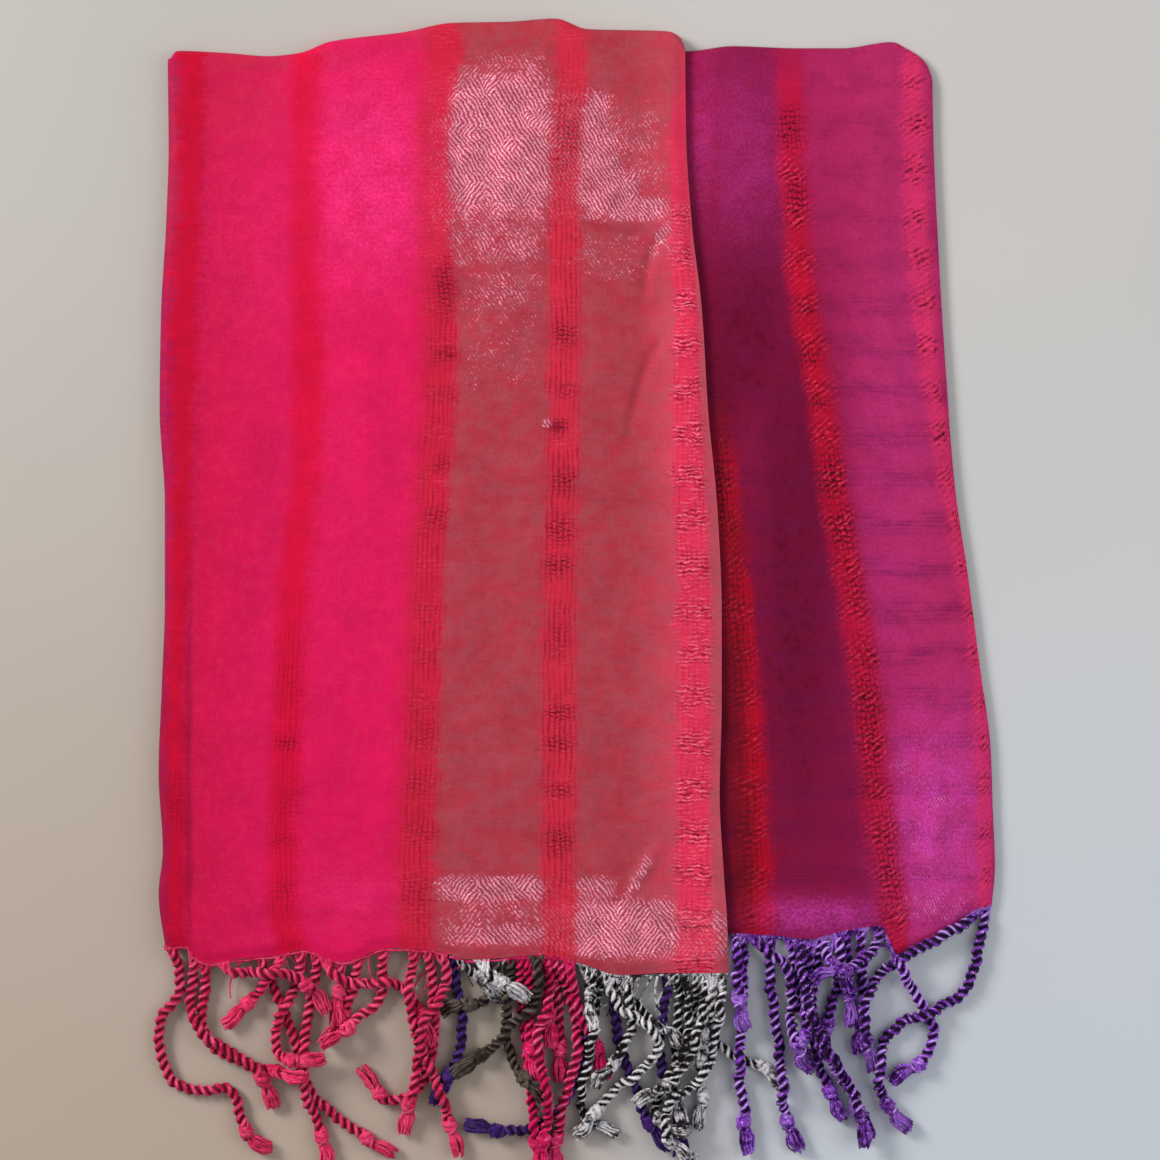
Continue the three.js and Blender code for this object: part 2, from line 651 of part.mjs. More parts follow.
const group = new THREE.Group();
group.position.set(-MIDDLE.x, -MIDDLE.y, 0);
group.add(piece('inner_layers', innerLayers(), 0x6a1440));
group.add(piece('lower_fold', stretch(LOWER, LOWER_TOP_Z, false, LOWER_COLUMN_WIDTH), 0xa0246a));
group.add(piece('upper_fold', stretch(UPPER, UPPER_TOP_Z, true, UPPER_COLUMN_WIDTH), 0xd82060));

const placed = [];
FRINGES.forEach((fringe) => group.add(piece(fringe.name, fringeBody(fringe, placed), fringe.color)));

export default group;
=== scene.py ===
"""Looks of a striped shawl that lies folded flat, with its twisted fringe spread out below.

Tables are in millimetres, in the maker's own measure; `placed` turns them into the frame's metres.
X runs from the lengthwise fold to the selvedges, Y from the fringe to the crosswise fold.
"""

import logging
import math
from collections.abc import Callable, Sequence
from dataclasses import dataclass
from enum import Enum
from typing import NamedTuple

import bpy
import numpy as np
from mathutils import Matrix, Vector


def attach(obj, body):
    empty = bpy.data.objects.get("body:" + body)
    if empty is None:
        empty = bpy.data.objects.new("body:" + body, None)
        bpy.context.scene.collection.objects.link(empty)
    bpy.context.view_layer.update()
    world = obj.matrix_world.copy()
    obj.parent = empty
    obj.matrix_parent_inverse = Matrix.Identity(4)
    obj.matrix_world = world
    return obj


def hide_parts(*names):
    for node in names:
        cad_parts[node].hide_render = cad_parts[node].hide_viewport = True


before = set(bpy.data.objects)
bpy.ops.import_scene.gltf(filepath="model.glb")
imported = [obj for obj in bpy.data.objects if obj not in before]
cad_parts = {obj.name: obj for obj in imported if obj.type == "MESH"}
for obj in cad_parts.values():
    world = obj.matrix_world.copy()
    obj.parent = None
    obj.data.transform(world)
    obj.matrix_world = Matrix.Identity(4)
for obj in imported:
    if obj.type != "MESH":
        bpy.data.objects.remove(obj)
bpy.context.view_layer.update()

Curve = Callable[[np.ndarray], np.ndarray]
Colour = tuple[float, float, float, float]

LOG = logging.getLogger("shawl")
MM = 0.001
MIDDLE_X = 1.1                 # from the tables' zero to the frame's, across
MIDDLE_Y = -1.4                # and along
ROOT = "root"

WALL = 1.0                     # thickness of one layer of cloth
UPPER_TOP_Z = 9.3
LOWER_TOP_Z = 4.9
FOLD_FOOT_Z = 0.4
FOLD_ROUND = 4.6
EDGE_DROOP = 1.6
DROOP_REACH = 8.0
TUCK_WIDTH = 14.0
GRID_PITCH = 1.8               # of the cloth's mesh
FOLD_STEPS = 8                 # rows or columns of that mesh round a fold
EDGE_RELIEF = 0.45             # how much of a crease is left at an edge
SIDE_UNROLLED = 0.7            # how fast the pattern runs on down the side fold
TOP_UNROLLED = 0.5             # and down the top one
SHARP_CREASE = 2.2             # wider creases get less painted light and shade
UV_MM = 100.0                  # millimetres of cloth for one unit of its UV map
ROUND_SPOT = 2.5               # corners of a zone: round, and higher for a box
ZONE_CORNERS = {"sheen": 5.0, "dark": 3.0}

DEEP = 5.0                     # hidden layers set further in than this have plain edges
HEM_INSET = 0.4
LEAF_LIP = 0.35                # how much a hidden layer's edges are rounded
WAVER_STEP = 1.7               # sets apart the ways in which their edges wander

STRIP_WIDTH = 2.4
STRIP_HEIGHT = 1.4
SEAM_GAP = 0.3
HEADING_STEP = 15.0            # length between two headings of a strand
FALL_LENGTH = 10.0             # over which a strand comes down from the hem
CLIMB_SLOPE = 0.8              # steepest rise over another strand
ROOT_ZONE = 7.0                # neighbours may touch up to here
KNOT_LENGTH = 7.0
TUFT_LENGTH = 13.0
CORD_STEP = 0.6                # between two rings of the strand's mesh
KINKS = ((0.28, 2.9), (0.22, 1.7))  # reach and length of a strand's small bends
KINK_START = 12.0              # they grow over this length
WRAP_TURNS = 1.1               # of a knot's two yarns round it
WRAP_STEPS = 22
WRAP_SWING = 0.72              # their way round, and their thickness, for a strand's radius of 1
WRAP_GIRTH = 0.74
TUFT_START = 1.5               # a tuft's fibres begin this far inside the knot
TUFT_STEPS = 8
FIBRE_GIRTH = 0.6
ROOT_SPREAD = 7.5              # of the hem that gathers into one strand
ROOT_STEPS = 6
ROOT_GIRTH = 0.55
WISP_STEPS = 26
HEM_THREAD_STEP = 1.5
HEM_THREAD_GIRTH = 0.62


# ---------------------------------------------------------------- measures and curves

def placed(points: np.ndarray) -> np.ndarray:
    """Points of the tables, in the frame's metres.

    Args:
        points: an array of x, y, z rows in millimetres.

    Returns:
        The same rows in metres, moved to the frame's origin.
    """
    return (np.asarray(points, float) + (MIDDLE_X, MIDDLE_Y, 0.0)) * MM


def soft(t: np.ndarray) -> np.ndarray:
    """A smooth step from 0 to 1."""
    t = np.clip(t, 0.0, 1.0)
    return t * t * (3 - 2 * t)


def through(rows: Sequence[tuple[float, float]]) -> Curve:
    """A smooth curve through a table's rows that never swings past them.

    Args:
        rows: pairs of place and value, in any order.

    Returns:
        A function from places to values.
    """
    at, to = np.array(sorted(rows), float).T
    slope = np.diff(to) / np.diff(at)
    before = np.concatenate([slope[:1], slope])
    after = np.concatenate([slope, slope[-1:]])
    same_way = before * after > 0
    total = np.where(same_way, before + after, 1.0)
    lean = np.where(same_way, 2 * before * after / total, 0.0)

    def curve(t: np.ndarray) -> np.ndarray:
        """The value at each place."""
        t = np.clip(np.asarray(t, float), at[0], at[-1])
        i = np.clip(np.searchsorted(at, t, side="right") - 1, 0, len(at) - 2)
        width = at[i + 1] - at[i]
        s = (t - at[i]) / width
        return ((1 + 2 * s) * (1 - s) ** 2 * to[i] + s * (1 - s) ** 2 * width * lean[i]
                + s * s * (3 - 2 * s) * to[i + 1] + s * s * (s - 1) * width * lean[i + 1])

    return curve


def table(kind: type, *rows: tuple[float, ...]) -> tuple:
    """A table's rows, with the names of their columns.

    Args:
        kind: the named tuple that holds a row.
        rows: the rows.

    Returns:
        The rows as that kind.
    """
    return tuple(kind(*row) for row in rows)


class Side(NamedTuple):
    """Where a stretch's fold and selvedge lie, at one height up the cloth."""

    y: float
    left: float
    right: float


class Spot(NamedTuple):
    """A point of an outline."""

    x: float
    y: float


UPPER_SIDES = table(Side,
    (266, -196.6, 52), (226, -196.2, 52.5), (187, -197.4, 55), (144, -199.8, 60), (96, -200.5, 63),
    (48, -198, 67.5), (0, -198, 69.5), (-43, -199.5, 69.5), (-86, -201, 68.5), (-125, -199, 70.5),
    (-146, -201, 72), (-172, -198, 73))
UPPER_TOP = table(Spot,
    (-195, 260.5), (-191.5, 264), (-168, 263), (-148, 261.5), (-133, 263), (-118, 268.5), (-83, 273),
    (-59, 277.5), (-33, 278), (-10, 279.5), (5, 274.5), (43, 273.5), (49.5, 271), (52, 266))
UPPER_HEM = table(Spot,
    (-198, -166), (-187, -165.5), (-182, -171.5), (-176, -174), (-163, -172), (-145, -170),
    (-131, -167.5), (-112, -173), (-90, -166.5), (-70, -167.5), (-50, -172), (-16, -170), (4, -174.5),
    (21, -179.5), (43, -178.5), (73, -178.5))
LOWER_RIGHT = table(Spot,
    (171, 252), (171.5, 226), (174, 173), (177.5, 117), (181.5, 65), (188, 17), (193.5, -27),
    (199, -71), (200, -100), (201, -127), (199.5, -146))
LOWER_TOP = table(Spot,
    (36, 264), (53, 264), (75, 266.5), (107, 265.5), (128, 265.5), (152, 268.5), (158.5, 265.5),
    (165, 261.5), (169, 257), (171, 251.5))
LOWER_HEM = table(Spot,
    (54, -160.5), (74, -160.5), (94, -161), (112, -163), (121, -161), (137, -157.5), (147, -156.5),
    (151, -168), (156, -170.5), (167, -166), (179, -160.5), (185, -154), (190, -150), (199.5, -146.5))


@dataclass(frozen=True)
class Outline:
    """The four edges of a stretch of cloth, as curves."""

    left: Curve
    right: Curve
    top: Curve
    hem: Curve
    low_y: float
    high_y: float


def upper_outline() -> Outline:
    """The edges of the stretch on top."""
    return Outline(
        left=through([(row.y, row.left) for row in UPPER_SIDES]),
        right=through([(row.y, row.right) for row in UPPER_SIDES]),
        top=through(UPPER_TOP),
        hem=through(UPPER_HEM),
        low_y=UPPER_SIDES[-1].y,
        high_y=UPPER_SIDES[0].y,
    )


def lower_outline(upper: Outline) -> Outline:
    """The edges of the stretch beneath, which runs on a little way under the upper one."""
    return Outline(
        left=lambda y: upper.right(y) - TUCK_WIDTH,
        right=through([(spot.y, spot.x) for spot in LOWER_RIGHT]),
        top=through(LOWER_TOP),
        hem=through(LOWER_HEM),
        low_y=LOWER_RIGHT[-1].y,
        high_y=LOWER_RIGHT[0].y,
    )


# ---------------------------------------------------------------- meshes

def linked(name: str, data: bpy.types.ID) -> bpy.types.Object:
    """A new object in the scene, at the origin."""
    made = bpy.data.objects.new(name, data)
    bpy.context.collection.objects.link(made)
    return made


def handed(piece: bpy.types.Object, node: str) -> bpy.types.Object:
    """The piece, after it is made to stand for a solid.

    Args:
        piece: a finished piece.
        node: the solid's name.

    Returns:
        The same piece.
    """
    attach(piece, ROOT)
    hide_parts(node)
    return piece


@dataclass
class Shape:
    """Points and faces of a piece, with what its finish reads from them."""

    points: np.ndarray
    faces: list[tuple[int, ...]]
    values: dict[str, np.ndarray]
    uv: np.ndarray | None = None

    def built(self, name: str, material: bpy.types.Material, sharp: float = 50.0) -> bpy.types.Object:
        """The shape as a Blender object.

        Args:
            name: the piece's name.
            material: its finish.
            sharp: the angle in degrees past which an edge isn't smoothed.

        Returns:
            The object, linked to the scene, with its place in its mesh.
        """
        mesh = bpy.data.meshes.new(name)
        mesh.from_pydata(placed(self.points).tolist(), [], self.faces)
        mesh.update()
        for key, value in self.values.items():
            mesh.attributes.new(key, "FLOAT", "POINT").data.foreach_set("value", value.astype(np.float32))
        if self.uv is not None:
            corner = np.empty(len(mesh.loops), np.int32)
            mesh.loops.foreach_get("vertex_index", corner)
            layer = mesh.uv_layers.new(name="weave")
            layer.data.foreach_set("uv", self.uv[corner].astype(np.float32).ravel())
        mesh.shade_smooth()
        mesh.set_sharp_from_angle(angle=math.radians(sharp))
        mesh.materials.append(material)
        return linked(name, mesh)


def grid_faces(wide: int, high: int) -> np.ndarray:
    """The quads of a grid of points that is `wide` across and `high` up, facing up."""
    low = (np.arange(high - 1)[:, None] * wide + np.arange(wide - 1)[None, :]).ravel()
    return np.stack([low, low + 1, low + 1 + wide, low + wide], axis=1)


def grid_rim(wide: int, high: int) -> np.ndarray:
    """The points round a grid's edge, in order, from its lower left corner."""
    across, up = np.arange(wide - 1), np.arange(high - 1)
    return np.concatenate([
        across, up * wide + wide - 1, wide * high - 1 - across, (high - 1 - up) * wide,
    ])


# ---------------------------------------------------------------- the cloth's form

class Crease(NamedTuple):
    """A soft ridge (height above 0) or trough (below 0) along a line."""

    height: float
    width: float
    line: tuple[tuple[float, float], ...]


class Swell(NamedTuple):
    """A long, low wave of the cloth: its height, its length and its way in degrees from +X."""

    height: float
    length: float
    way: float
    start: float


class Zone(NamedTuple):
    """A soft-edged spot of a finish's painted light, shade or sheen, darker dye, or breaks."""

    x: float
    y: float
    reach_x: float
    reach_y: float
    strength: float


class Guide(NamedTuple):
    """Where one warp thread lies: its place across the cloth, and its line as x at each y."""

    across: float
    line: tuple[tuple[float, float], ...]


def crease_height(crease: Crease, x: np.ndarray, y: np.ndarray) -> np.ndarray:
    """How far a crease lifts each point.

    Args:
        crease: the crease's row.
        x: each point's place across.
        y: each point's place along.

    Returns:
        One height for each point, below 0 in a trough.
    """
    ends = np.array(crease.line, float)
    steps = len(ends) - 1
    nearest = np.full(x.shape, np.inf)
    along = np.zeros(x.shape)
    for i in range(steps):
        start, run = ends[i], ends[i + 1] - ends[i]
        t = np.clip(((x - start[0]) * run[0] + (y - start[1]) * run[1]) / (run @ run), 0, 1)
        far = np.hypot(x - start[0] - t * run[0], y - start[1] - t * run[1])
        closer = far < nearest
        nearest = np.where(closer, far, nearest)
        along = np.where(closer, (i + t) / steps, along)
    taper = np.sqrt(np.clip(np.sin(np.pi * np.clip(along, 0.02, 0.98)), 0, 1))
    return crease.height * np.exp(-(nearest / crease.width) ** 2) * taper


def zone_value(zones: Sequence[Zone], x: np.ndarray, y: np.ndarray, corner: float) -> np.ndarray:
    """The strongest zone's value at each point.

    Args:
        zones: the spots.
        x: each point's place across.
        y: each point's place along.
        corner: ROUND_SPOT for round spots, and more for boxes.

    Returns:
        Values from 0 to 1.
    """
    value = np.zeros(x.shape)
    for zone in zones:
        far = np.abs((x - zone.x) / zone.reach_x) ** corner + np.abs((y - zone.y) / zone.reach_y) ** corner
        value = np.maximum(value, zone.strength * np.exp(-far))
    return value


@dataclass
class FoldedCloth:
    """One stretch of the folded cloth, as a thin wall over the hidden layers."""

    name: str
    node: str
    slot: str
    shape: Outline
    top_z: float
    folded_left: bool
    guides: tuple[Guide, ...]
    creases: tuple[Crease, ...]
    swells: tuple[Swell, ...]
    zones: dict[str, tuple[Zone, ...]]
    first_warp: float = 0.0
    last_warp: float = 265.4

    def columns(self) -> tuple[np.ndarray, np.ndarray]:
        """Places across (0 to 1) and angles round the side fold, of the mesh's columns."""
        wide = float(self.shape.right(0.0) - self.shape.left(0.0))
        flat = np.linspace(0, 1, round(wide / GRID_PITCH))
        if not self.folded_left:
            return flat, np.zeros(len(flat))
        roll = np.linspace(90, 0, FOLD_STEPS + 1)[:-1]
        return np.concatenate([np.zeros(len(roll)), flat]), np.concatenate([roll, np.zeros(len(flat))])

    def rows(self) -> tuple[np.ndarray, np.ndarray]:
        """Places up (0 to 1) and angles round the top fold, of the mesh's rows."""
        flat = np.linspace(0, 1, round((self.shape.high_y - self.shape.low_y) / GRID_PITCH))
        roll = np.linspace(0, 90, FOLD_STEPS + 1)[1:]
        return np.concatenate([flat, np.ones(len(roll))]), np.concatenate([np.zeros(len(flat)), roll])

    def relief(self, x: np.ndarray, y: np.ndarray) -> np.ndarray:
        """Height of the creases and swells.

        Args:
            x: each point's place across.
            y: each point's place along.

        Returns:
            One height for each point.
        """
        height = np.zeros(x.shape)
        for crease in self.creases:
            height += crease_height(crease, x, y)
        for swell in self.swells:
            way = math.radians(swell.way)
            run = (x * math.cos(way) + y * math.sin(way)) / swell.length
            height += swell.height * np.sin(2 * np.pi * (run + swell.start))
        return height

    def surface(self, inset: float) -> np.ndarray:
        """The face's points, moved in by `inset` towards the hidden layers.

        Args:
            inset: 0 for the face and the wall's thickness for the back.

        Returns:
            Rows of x, y, z, column by column in each row.
        """
        (u, roll), (v, top_roll) = self.columns(), self.rows()
        u, v = np.meshgrid(u, v)
        roll, top_roll = np.meshgrid(np.radians(roll), np.radians(top_roll))
        shape = self.shape
        side_y = shape.low_y + (shape.high_y - shape.low_y) * v
        round_by = FOLD_ROUND - inset
        left = shape.left(side_y) + (inset if self.folded_left else 0.0)
        flat_left = left + (round_by if self.folded_left else 0.0)
        flat_x = flat_left + (shape.right(side_y) - flat_left) * u
        x = np.where(roll > 0, left + round_by * (1 - np.sin(roll)), flat_x)
        top = shape.top(x) - inset
        flat_y = shape.hem(x) + (top - round_by - shape.hem(x)) * v
        y = np.where(top_roll > 0, top - round_by * (1 - np.sin(top_roll)), flat_y)
        edge = np.minimum(shape.right(side_y) - x, y - shape.hem(x))
        droop = EDGE_DROOP * (1 - soft(edge / DROOP_REACH)) ** 2
        flatness = np.cos(roll) * np.cos(top_roll)
        near_edge = EDGE_RELIEF + (1 - EDGE_RELIEF) * soft(edge / DROOP_REACH)
        fallen = (self.top_z - inset - FOLD_FOOT_Z) * (1 - flatness) + droop * flatness
        z = self.top_z - inset - fallen + self.relief(x, y) * flatness * near_edge
        return np.stack([x, y, z], axis=-1).reshape(-1, 3)

    def warp_place(self, points: np.ndarray) -> np.ndarray:
        """How far across the cloth's own width each point lies.

        Args:
            points: rows of x, y, z.

        Returns:
            Millimetres from the side fold, one for each row.
        """
        x, y = points[:, 0], points[:, 1]
        clipped = np.clip(y, self.shape.low_y, self.shape.high_y)
        lines = [(self.first_warp, self.shape.left(clipped))]
        lines += [(guide.across, through([(at_y, at_x) for at_y, at_x in guide.line])(y))
                  for guide in self.guides]
        lines.append((self.last_warp, self.shape.right(clipped)))
        place = np.full(x.shape, self.first_warp)
        for (from_u, from_x), (to_u, to_x) in zip(lines, lines[1:]):
            t = (x - from_x) / np.maximum(to_x - from_x, 0.1)
            place = np.where(t > 0, from_u + (to_u - from_u) * t, place)
        return place

    def build(self, material: bpy.types.Material) -> bpy.types.Object:
        """The stretch as one closed wall, with its warp places as a UV map.

        Args:
            material: its finish.

        Returns:
            The piece, ready to show.
        """
        wide, high = len(self.columns()[0]), len(self.rows()[0])
        face, back = self.surface(0.0), self.surface(WALL)
        under = wide * high
        quads = grid_faces(wide, high)
        rim = grid_rim(wide, high)
        following = np.roll(rim, -1)
        walls = np.stack([rim + under, following + under, following, rim], axis=1)
        faces = np.concatenate([quads, quads[:, ::-1] + under, walls])
        turned_down = np.clip(self.top_z - face[:, 2] - EDGE_DROOP, 0, None)
        warp = self.warp_place(face)
        warp = np.where(warp < self.first_warp + FOLD_ROUND, warp - turned_down * SIDE_UNROLLED, warp)
        uv = np.stack([warp, face[:, 1] + turned_down * TOP_UNROLLED], axis=1) / UV_MM
        x, y = face[:, 0], face[:, 1]
        values = {key: np.tile(zone_value(zones, x, y, ZONE_CORNERS.get(key, ROUND_SPOT)), 2)
                  for key, zones in self.zones.items()}
        # The creases go to the finish too, for painted shade in their troughs and painted light on their
        # ridges.
        folds = sum(crease_height(crease, x, y) * min(1.0, SHARP_CREASE / crease.width) ** 1.5
                    for crease in self.creases)
        values["fold"] = np.tile(folds, 2)
        form = Shape(np.concatenate([face, back]), faces.tolist(), values, np.tile(uv, (2, 1)))
        return handed(form.built(self.name, material), self.node)


# ---------------------------------------------------------------- the hidden layers

class Leaf(NamedTuple):
    """One hidden layer: its two heights, and how far in from the outline each side lies."""

    low: float
    high: float
    left: float
    right: float
    top: float
    hem: float


UPPER_LEAVES = table(Leaf,
    (0.0, 1.25, 3.4, 18, 4.2, 3.2), (1.3, 2.55, 3.0, 18, 3.7, 2.4), (2.6, 3.85, 3.2, 18, 4.0, 3.6),
    (3.9, 5.1, 3.5, 18, 4.3, 3.0), (5.2, 6.1, 4.2, 1.3, 4.9, 1.4), (6.15, 7.5, 6.4, 9, 7, 9))
LOWER_LEAVES = table(Leaf,
    (0.0, 0.9, -8, 2.4, 4.6, 2.2), (0.95, 1.8, -8, 1.2, 4.2, 0.9), (1.85, 3.2, -8, 9, 6.4, 9))


@dataclass
class HiddenLayers:
    """The layers under the two stretches that show, seen only at their edges."""

    upper: Outline
    lower: Outline
    name: str = "hidden_layers"
    node: str = "inner_layers"
    slot: str = "hidden_cloth"
    pitch: float = 4.0

    def ring(self, shape: Outline, leaf: Leaf, inset: float, z: float, waver: float) -> np.ndarray:
        """One closed line round a leaf.

        Args:
            shape: the outline of the stretch over it.
            leaf: the leaf's row.
            inset: how much further in this line lies.
            z: its height.
            waver: a number that sets how this leaf's edge wanders.

        Returns:
            Rows of x, y, z.
        """
        up = np.linspace(0, 1, round((shape.high_y - shape.low_y) / self.pitch))
        side_y = shape.low_y + (shape.high_y - shape.low_y) * up
        stray = 0.35 * np.sin(side_y / 17 + waver) + 0.25 * np.sin(side_y / 7.3 + 2 * waver)
        left = shape.left(side_y) + leaf.left + inset
        right = shape.right(side_y) - leaf.right - inset + stray * (leaf.right < DEEP)
        across = np.linspace(0, 1, round((right[0] - left[0]) / self.pitch))

        def line(u: np.ndarray, i: np.ndarray, v: np.ndarray | float) -> np.ndarray:
            """Points at u across row i of the sides, and v of the way up from the hem."""
            x = left[i] + (right[i] - left[i]) * u
            loose = 0.4 * np.sin(x / 11 + waver) + 0.25 * np.sin(x / 4.7 + 3 * waver)
            hem = shape.hem(x) + leaf.hem + inset + np.where(leaf.hem < DEEP, loose, 0.0) + HEM_INSET
            return np.stack([x, hem + (shape.top(x) - leaf.top - inset - hem) * v, x * 0 + z], axis=1)

        last = len(up) - 1
        every = np.arange(last)
        return np.concatenate([
            line(across[:-1], np.zeros(len(across) - 1, int), 0.0),
            line(np.ones(last), every, up[:-1]),
            line(across[:0:-1], np.full(len(across) - 1, last), 1.0),
            line(np.zeros(last), last - every, up[:0:-1]),
        ])

    def slab(self, shape: Outline, leaf: Leaf, waver: float) -> tuple[np.ndarray, list[tuple[int, ...]]]:
        """A leaf as one closed slab with rounded edges.

        Args:
            shape: the outline of the stretch over it.
            leaf: the leaf's row.
            waver: a number that sets how its edge wanders.

        Returns:
            Rows of x, y, z, and the faces.
        """
        lip = min(LEAF_LIP, (leaf.high - leaf.low) / 3)
        levels = ((lip, leaf.low), (0.0, leaf.low + lip), (0.0, leaf.high - lip), (lip, leaf.high))
        rings = [self.ring(shape, leaf, inset, z, waver) for inset, z in levels]
        count, last = len(rings[0]), len(rings) - 1
        faces: list[tuple[int, ...]] = [tuple(range(count - 1, -1, -1))]
        faces.append(tuple(range(last * count, (last + 1) * count)))
        for level in range(last):
            for i in range(count):
                low, following = level * count, (i + 1) % count
                faces.append((low + i, low + following, low + count + following, low + count + i))
        return np.concatenate(rings), faces

    def build(self, material: bpy.types.Material) -> bpy.types.Object:
        """Every leaf in one mesh.

        Args:
            material: its finish.

        Returns:
            The piece, ready to show.
        """
        points: list[np.ndarray] = []
        faces: list[tuple[int, ...]] = []
        stacks = [(self.upper, leaf) for leaf in UPPER_LEAVES]
        stacks += [(self.lower, leaf) for leaf in LOWER_LEAVES]
        for index, (shape, leaf) in enumerate(stacks):
            start = sum(len(part) for part in points)
            slab_points, slab_faces = self.slab(shape, leaf, WAVER_STEP * index)
            points.append(slab_points)
            faces += [tuple(start + i for i in face) for face in slab_faces]
        piece = Shape(np.concatenate(points), faces, {}).built(self.name, material, 60.0)
        return handed(piece, self.node)


# ---------------------------------------------------------------- the fringe

class Way(Enum):
    """The colourways that one fringe's strands come in; a finish reads the number."""

    FIRST = 0
    SECOND = 1
    THIRD = 2


class Strand(NamedTuple):
    """A strand's root along the hem, its headings, and its colourway.

    A heading is in degrees from straight down, + to the right, one for each HEADING_STEP.
    """

    at: float
    headings: tuple[float, ...]
    way: Way = Way.FIRST


@dataclass(frozen=True)
class Hem:
    """The edge that strands hang from."""

    curve: Curve
    start: float
    end: float
    z: float


class Track(NamedTuple):
    """A strand's middle line: its points, how far along each is, and its radius there."""

    x: np.ndarray
    y: np.ndarray
    z: np.ndarray
    along: np.ndarray
    radius: np.ndarray

    def at(self, along: np.ndarray | float) -> np.ndarray:
        """The x, y, z of the line so far along."""
        return np.stack([np.interp(along, self.along, line) for line in (self.x, self.y, self.z)], axis=-1)


@dataclass
class Pile:
    """The strands that lie on the table already, for the next one to climb over."""

    open_hems: tuple[Hem, ...]
    press: float = 0.8         # how flat soft yarn presses where strands cross
    clearance: float = 0.15

    def __post_init__(self) -> None:
        """Starts with an empty table."""
        self.lying: list[tuple[Hem, Track]] = []

    def needed(self, hem: Hem, track: Track, clears: bool) -> np.ndarray:
        """The least height of each point of a strand.

        Args:
            hem: the hem that it hangs from.
            track: its line, whose heights aren't read.
            clears: whether it lies over the open hems.

        Returns:
            One height for each point.
        """
        need = self.clearance + track.radius
        for other in self.open_hems if clears else ():
            reach = STRIP_WIDTH + 2 * SEAM_GAP + track.radius
            over = (track.x > other.start - reach) & (track.x < other.end + reach)
            over &= track.y > other.curve(track.x) - reach
            if other is hem:
                over &= track.along >= ROOT_ZONE
            height = other.z + STRIP_HEIGHT / 2 + SEAM_GAP + track.radius
            need = np.where(over, np.maximum(need, height), need)
        for other_hem, other in self.lying:
            room = (other.radius[None, :] + track.radius[:, None]) * self.press
            apart = np.hypot(other.x[None, :] - track.x[:, None], other.y[None, :] - track.y[:, None])
            meets = apart < room
            if other_hem is hem:
                meets &= ~((other.along < ROOT_ZONE)[None, :] & (track.along < ROOT_ZONE)[:, None])
            lift = other.z[None, :] + np.sqrt(np.maximum(room ** 2 - apart ** 2, 0))
            need = np.maximum(need, np.where(meets, lift, 0).max(axis=1))
        return need

    def lay(self, hem: Hem, track: Track, clears: bool) -> Track:
        """Puts a strand down: from the hem, then over what it crosses.

        Args:
            hem: the hem that it hangs from.
            track: its line, whose heights aren't read.
            clears: whether it lies over the open hems.

        Returns:
            The line with its heights.
        """
        need = self.needed(hem, track, clears)
        rest = self.clearance + track.radius
        fall = hem.z + (rest - hem.z) * soft(track.along / FALL_LENGTH)
        apart = np.abs(track.along[:, None] - track.along[None, :])
        climbs = (need[None, :] - CLIMB_SLOPE * np.maximum(apart - 1, 0)).max(axis=1)
        z = np.maximum(np.maximum(fall, rest), climbs)
        z[0] = hem.z
        padded = np.concatenate([[z[0]] * 2, z, [z[-1]] * 2])
        smooth = np.convolve(padded, np.array([1, 2, 3, 2, 1]) / 9, mode="valid")
        laid = track._replace(z=np.maximum(smooth, np.minimum(rest, z)))
        self.lying.append((hem, laid))
        return laid


class Thread(NamedTuple):
    """A thin line of yarn: its points, its radius along them, and the tone that its finish reads."""

    points: np.ndarray
    radius: np.ndarray
    tone: float


def curve_object(name: str, threads: Sequence[Thread]) -> bpy.types.Object:
    """Threads as one curve object, its tilt holding each thread's tone.

    Args:
        name: the object's name.
        threads: the lines, in millimetres.

    Returns:
        The curve object, linked to the scene.
    """
    curve = bpy.data.curves.new(name, "CURVE")
    curve.dimensions = "3D"
    for thread in threads:
        spline = curve.splines.new("POLY")
        count = len(thread.points)
        spline.points.add(count - 1)
        rows = np.concatenate([placed(thread.points), np.ones((count, 1))], axis=1)
        spline.points.foreach_set("co", rows.astype(np.float32).ravel())
        spline.points.foreach_set("radius", (thread.radius * MM).astype(np.float32))
        spline.points.foreach_set("tilt", np.full(count, thread.tone, np.float32))
    return linked(name, curve)


def fed(tree: bpy.types.NodeTree, node: bpy.types.Node, inputs: dict[str | int, object]) -> bpy.types.Node:
    """A node, after its sockets are linked or set.

    Args:
        tree: the tree that it stands in.
        node: the node.
        inputs: a socket to link, or a value, for each input.

    Returns:
        The same node.
    """
    for key, value in inputs.items():
        value = getattr(value, "socket", value)
        if isinstance(value, bpy.types.NodeSocket):
            tree.links.new(value, node.inputs[key])
        else:
            node.inputs[key].default_value = value
    return node


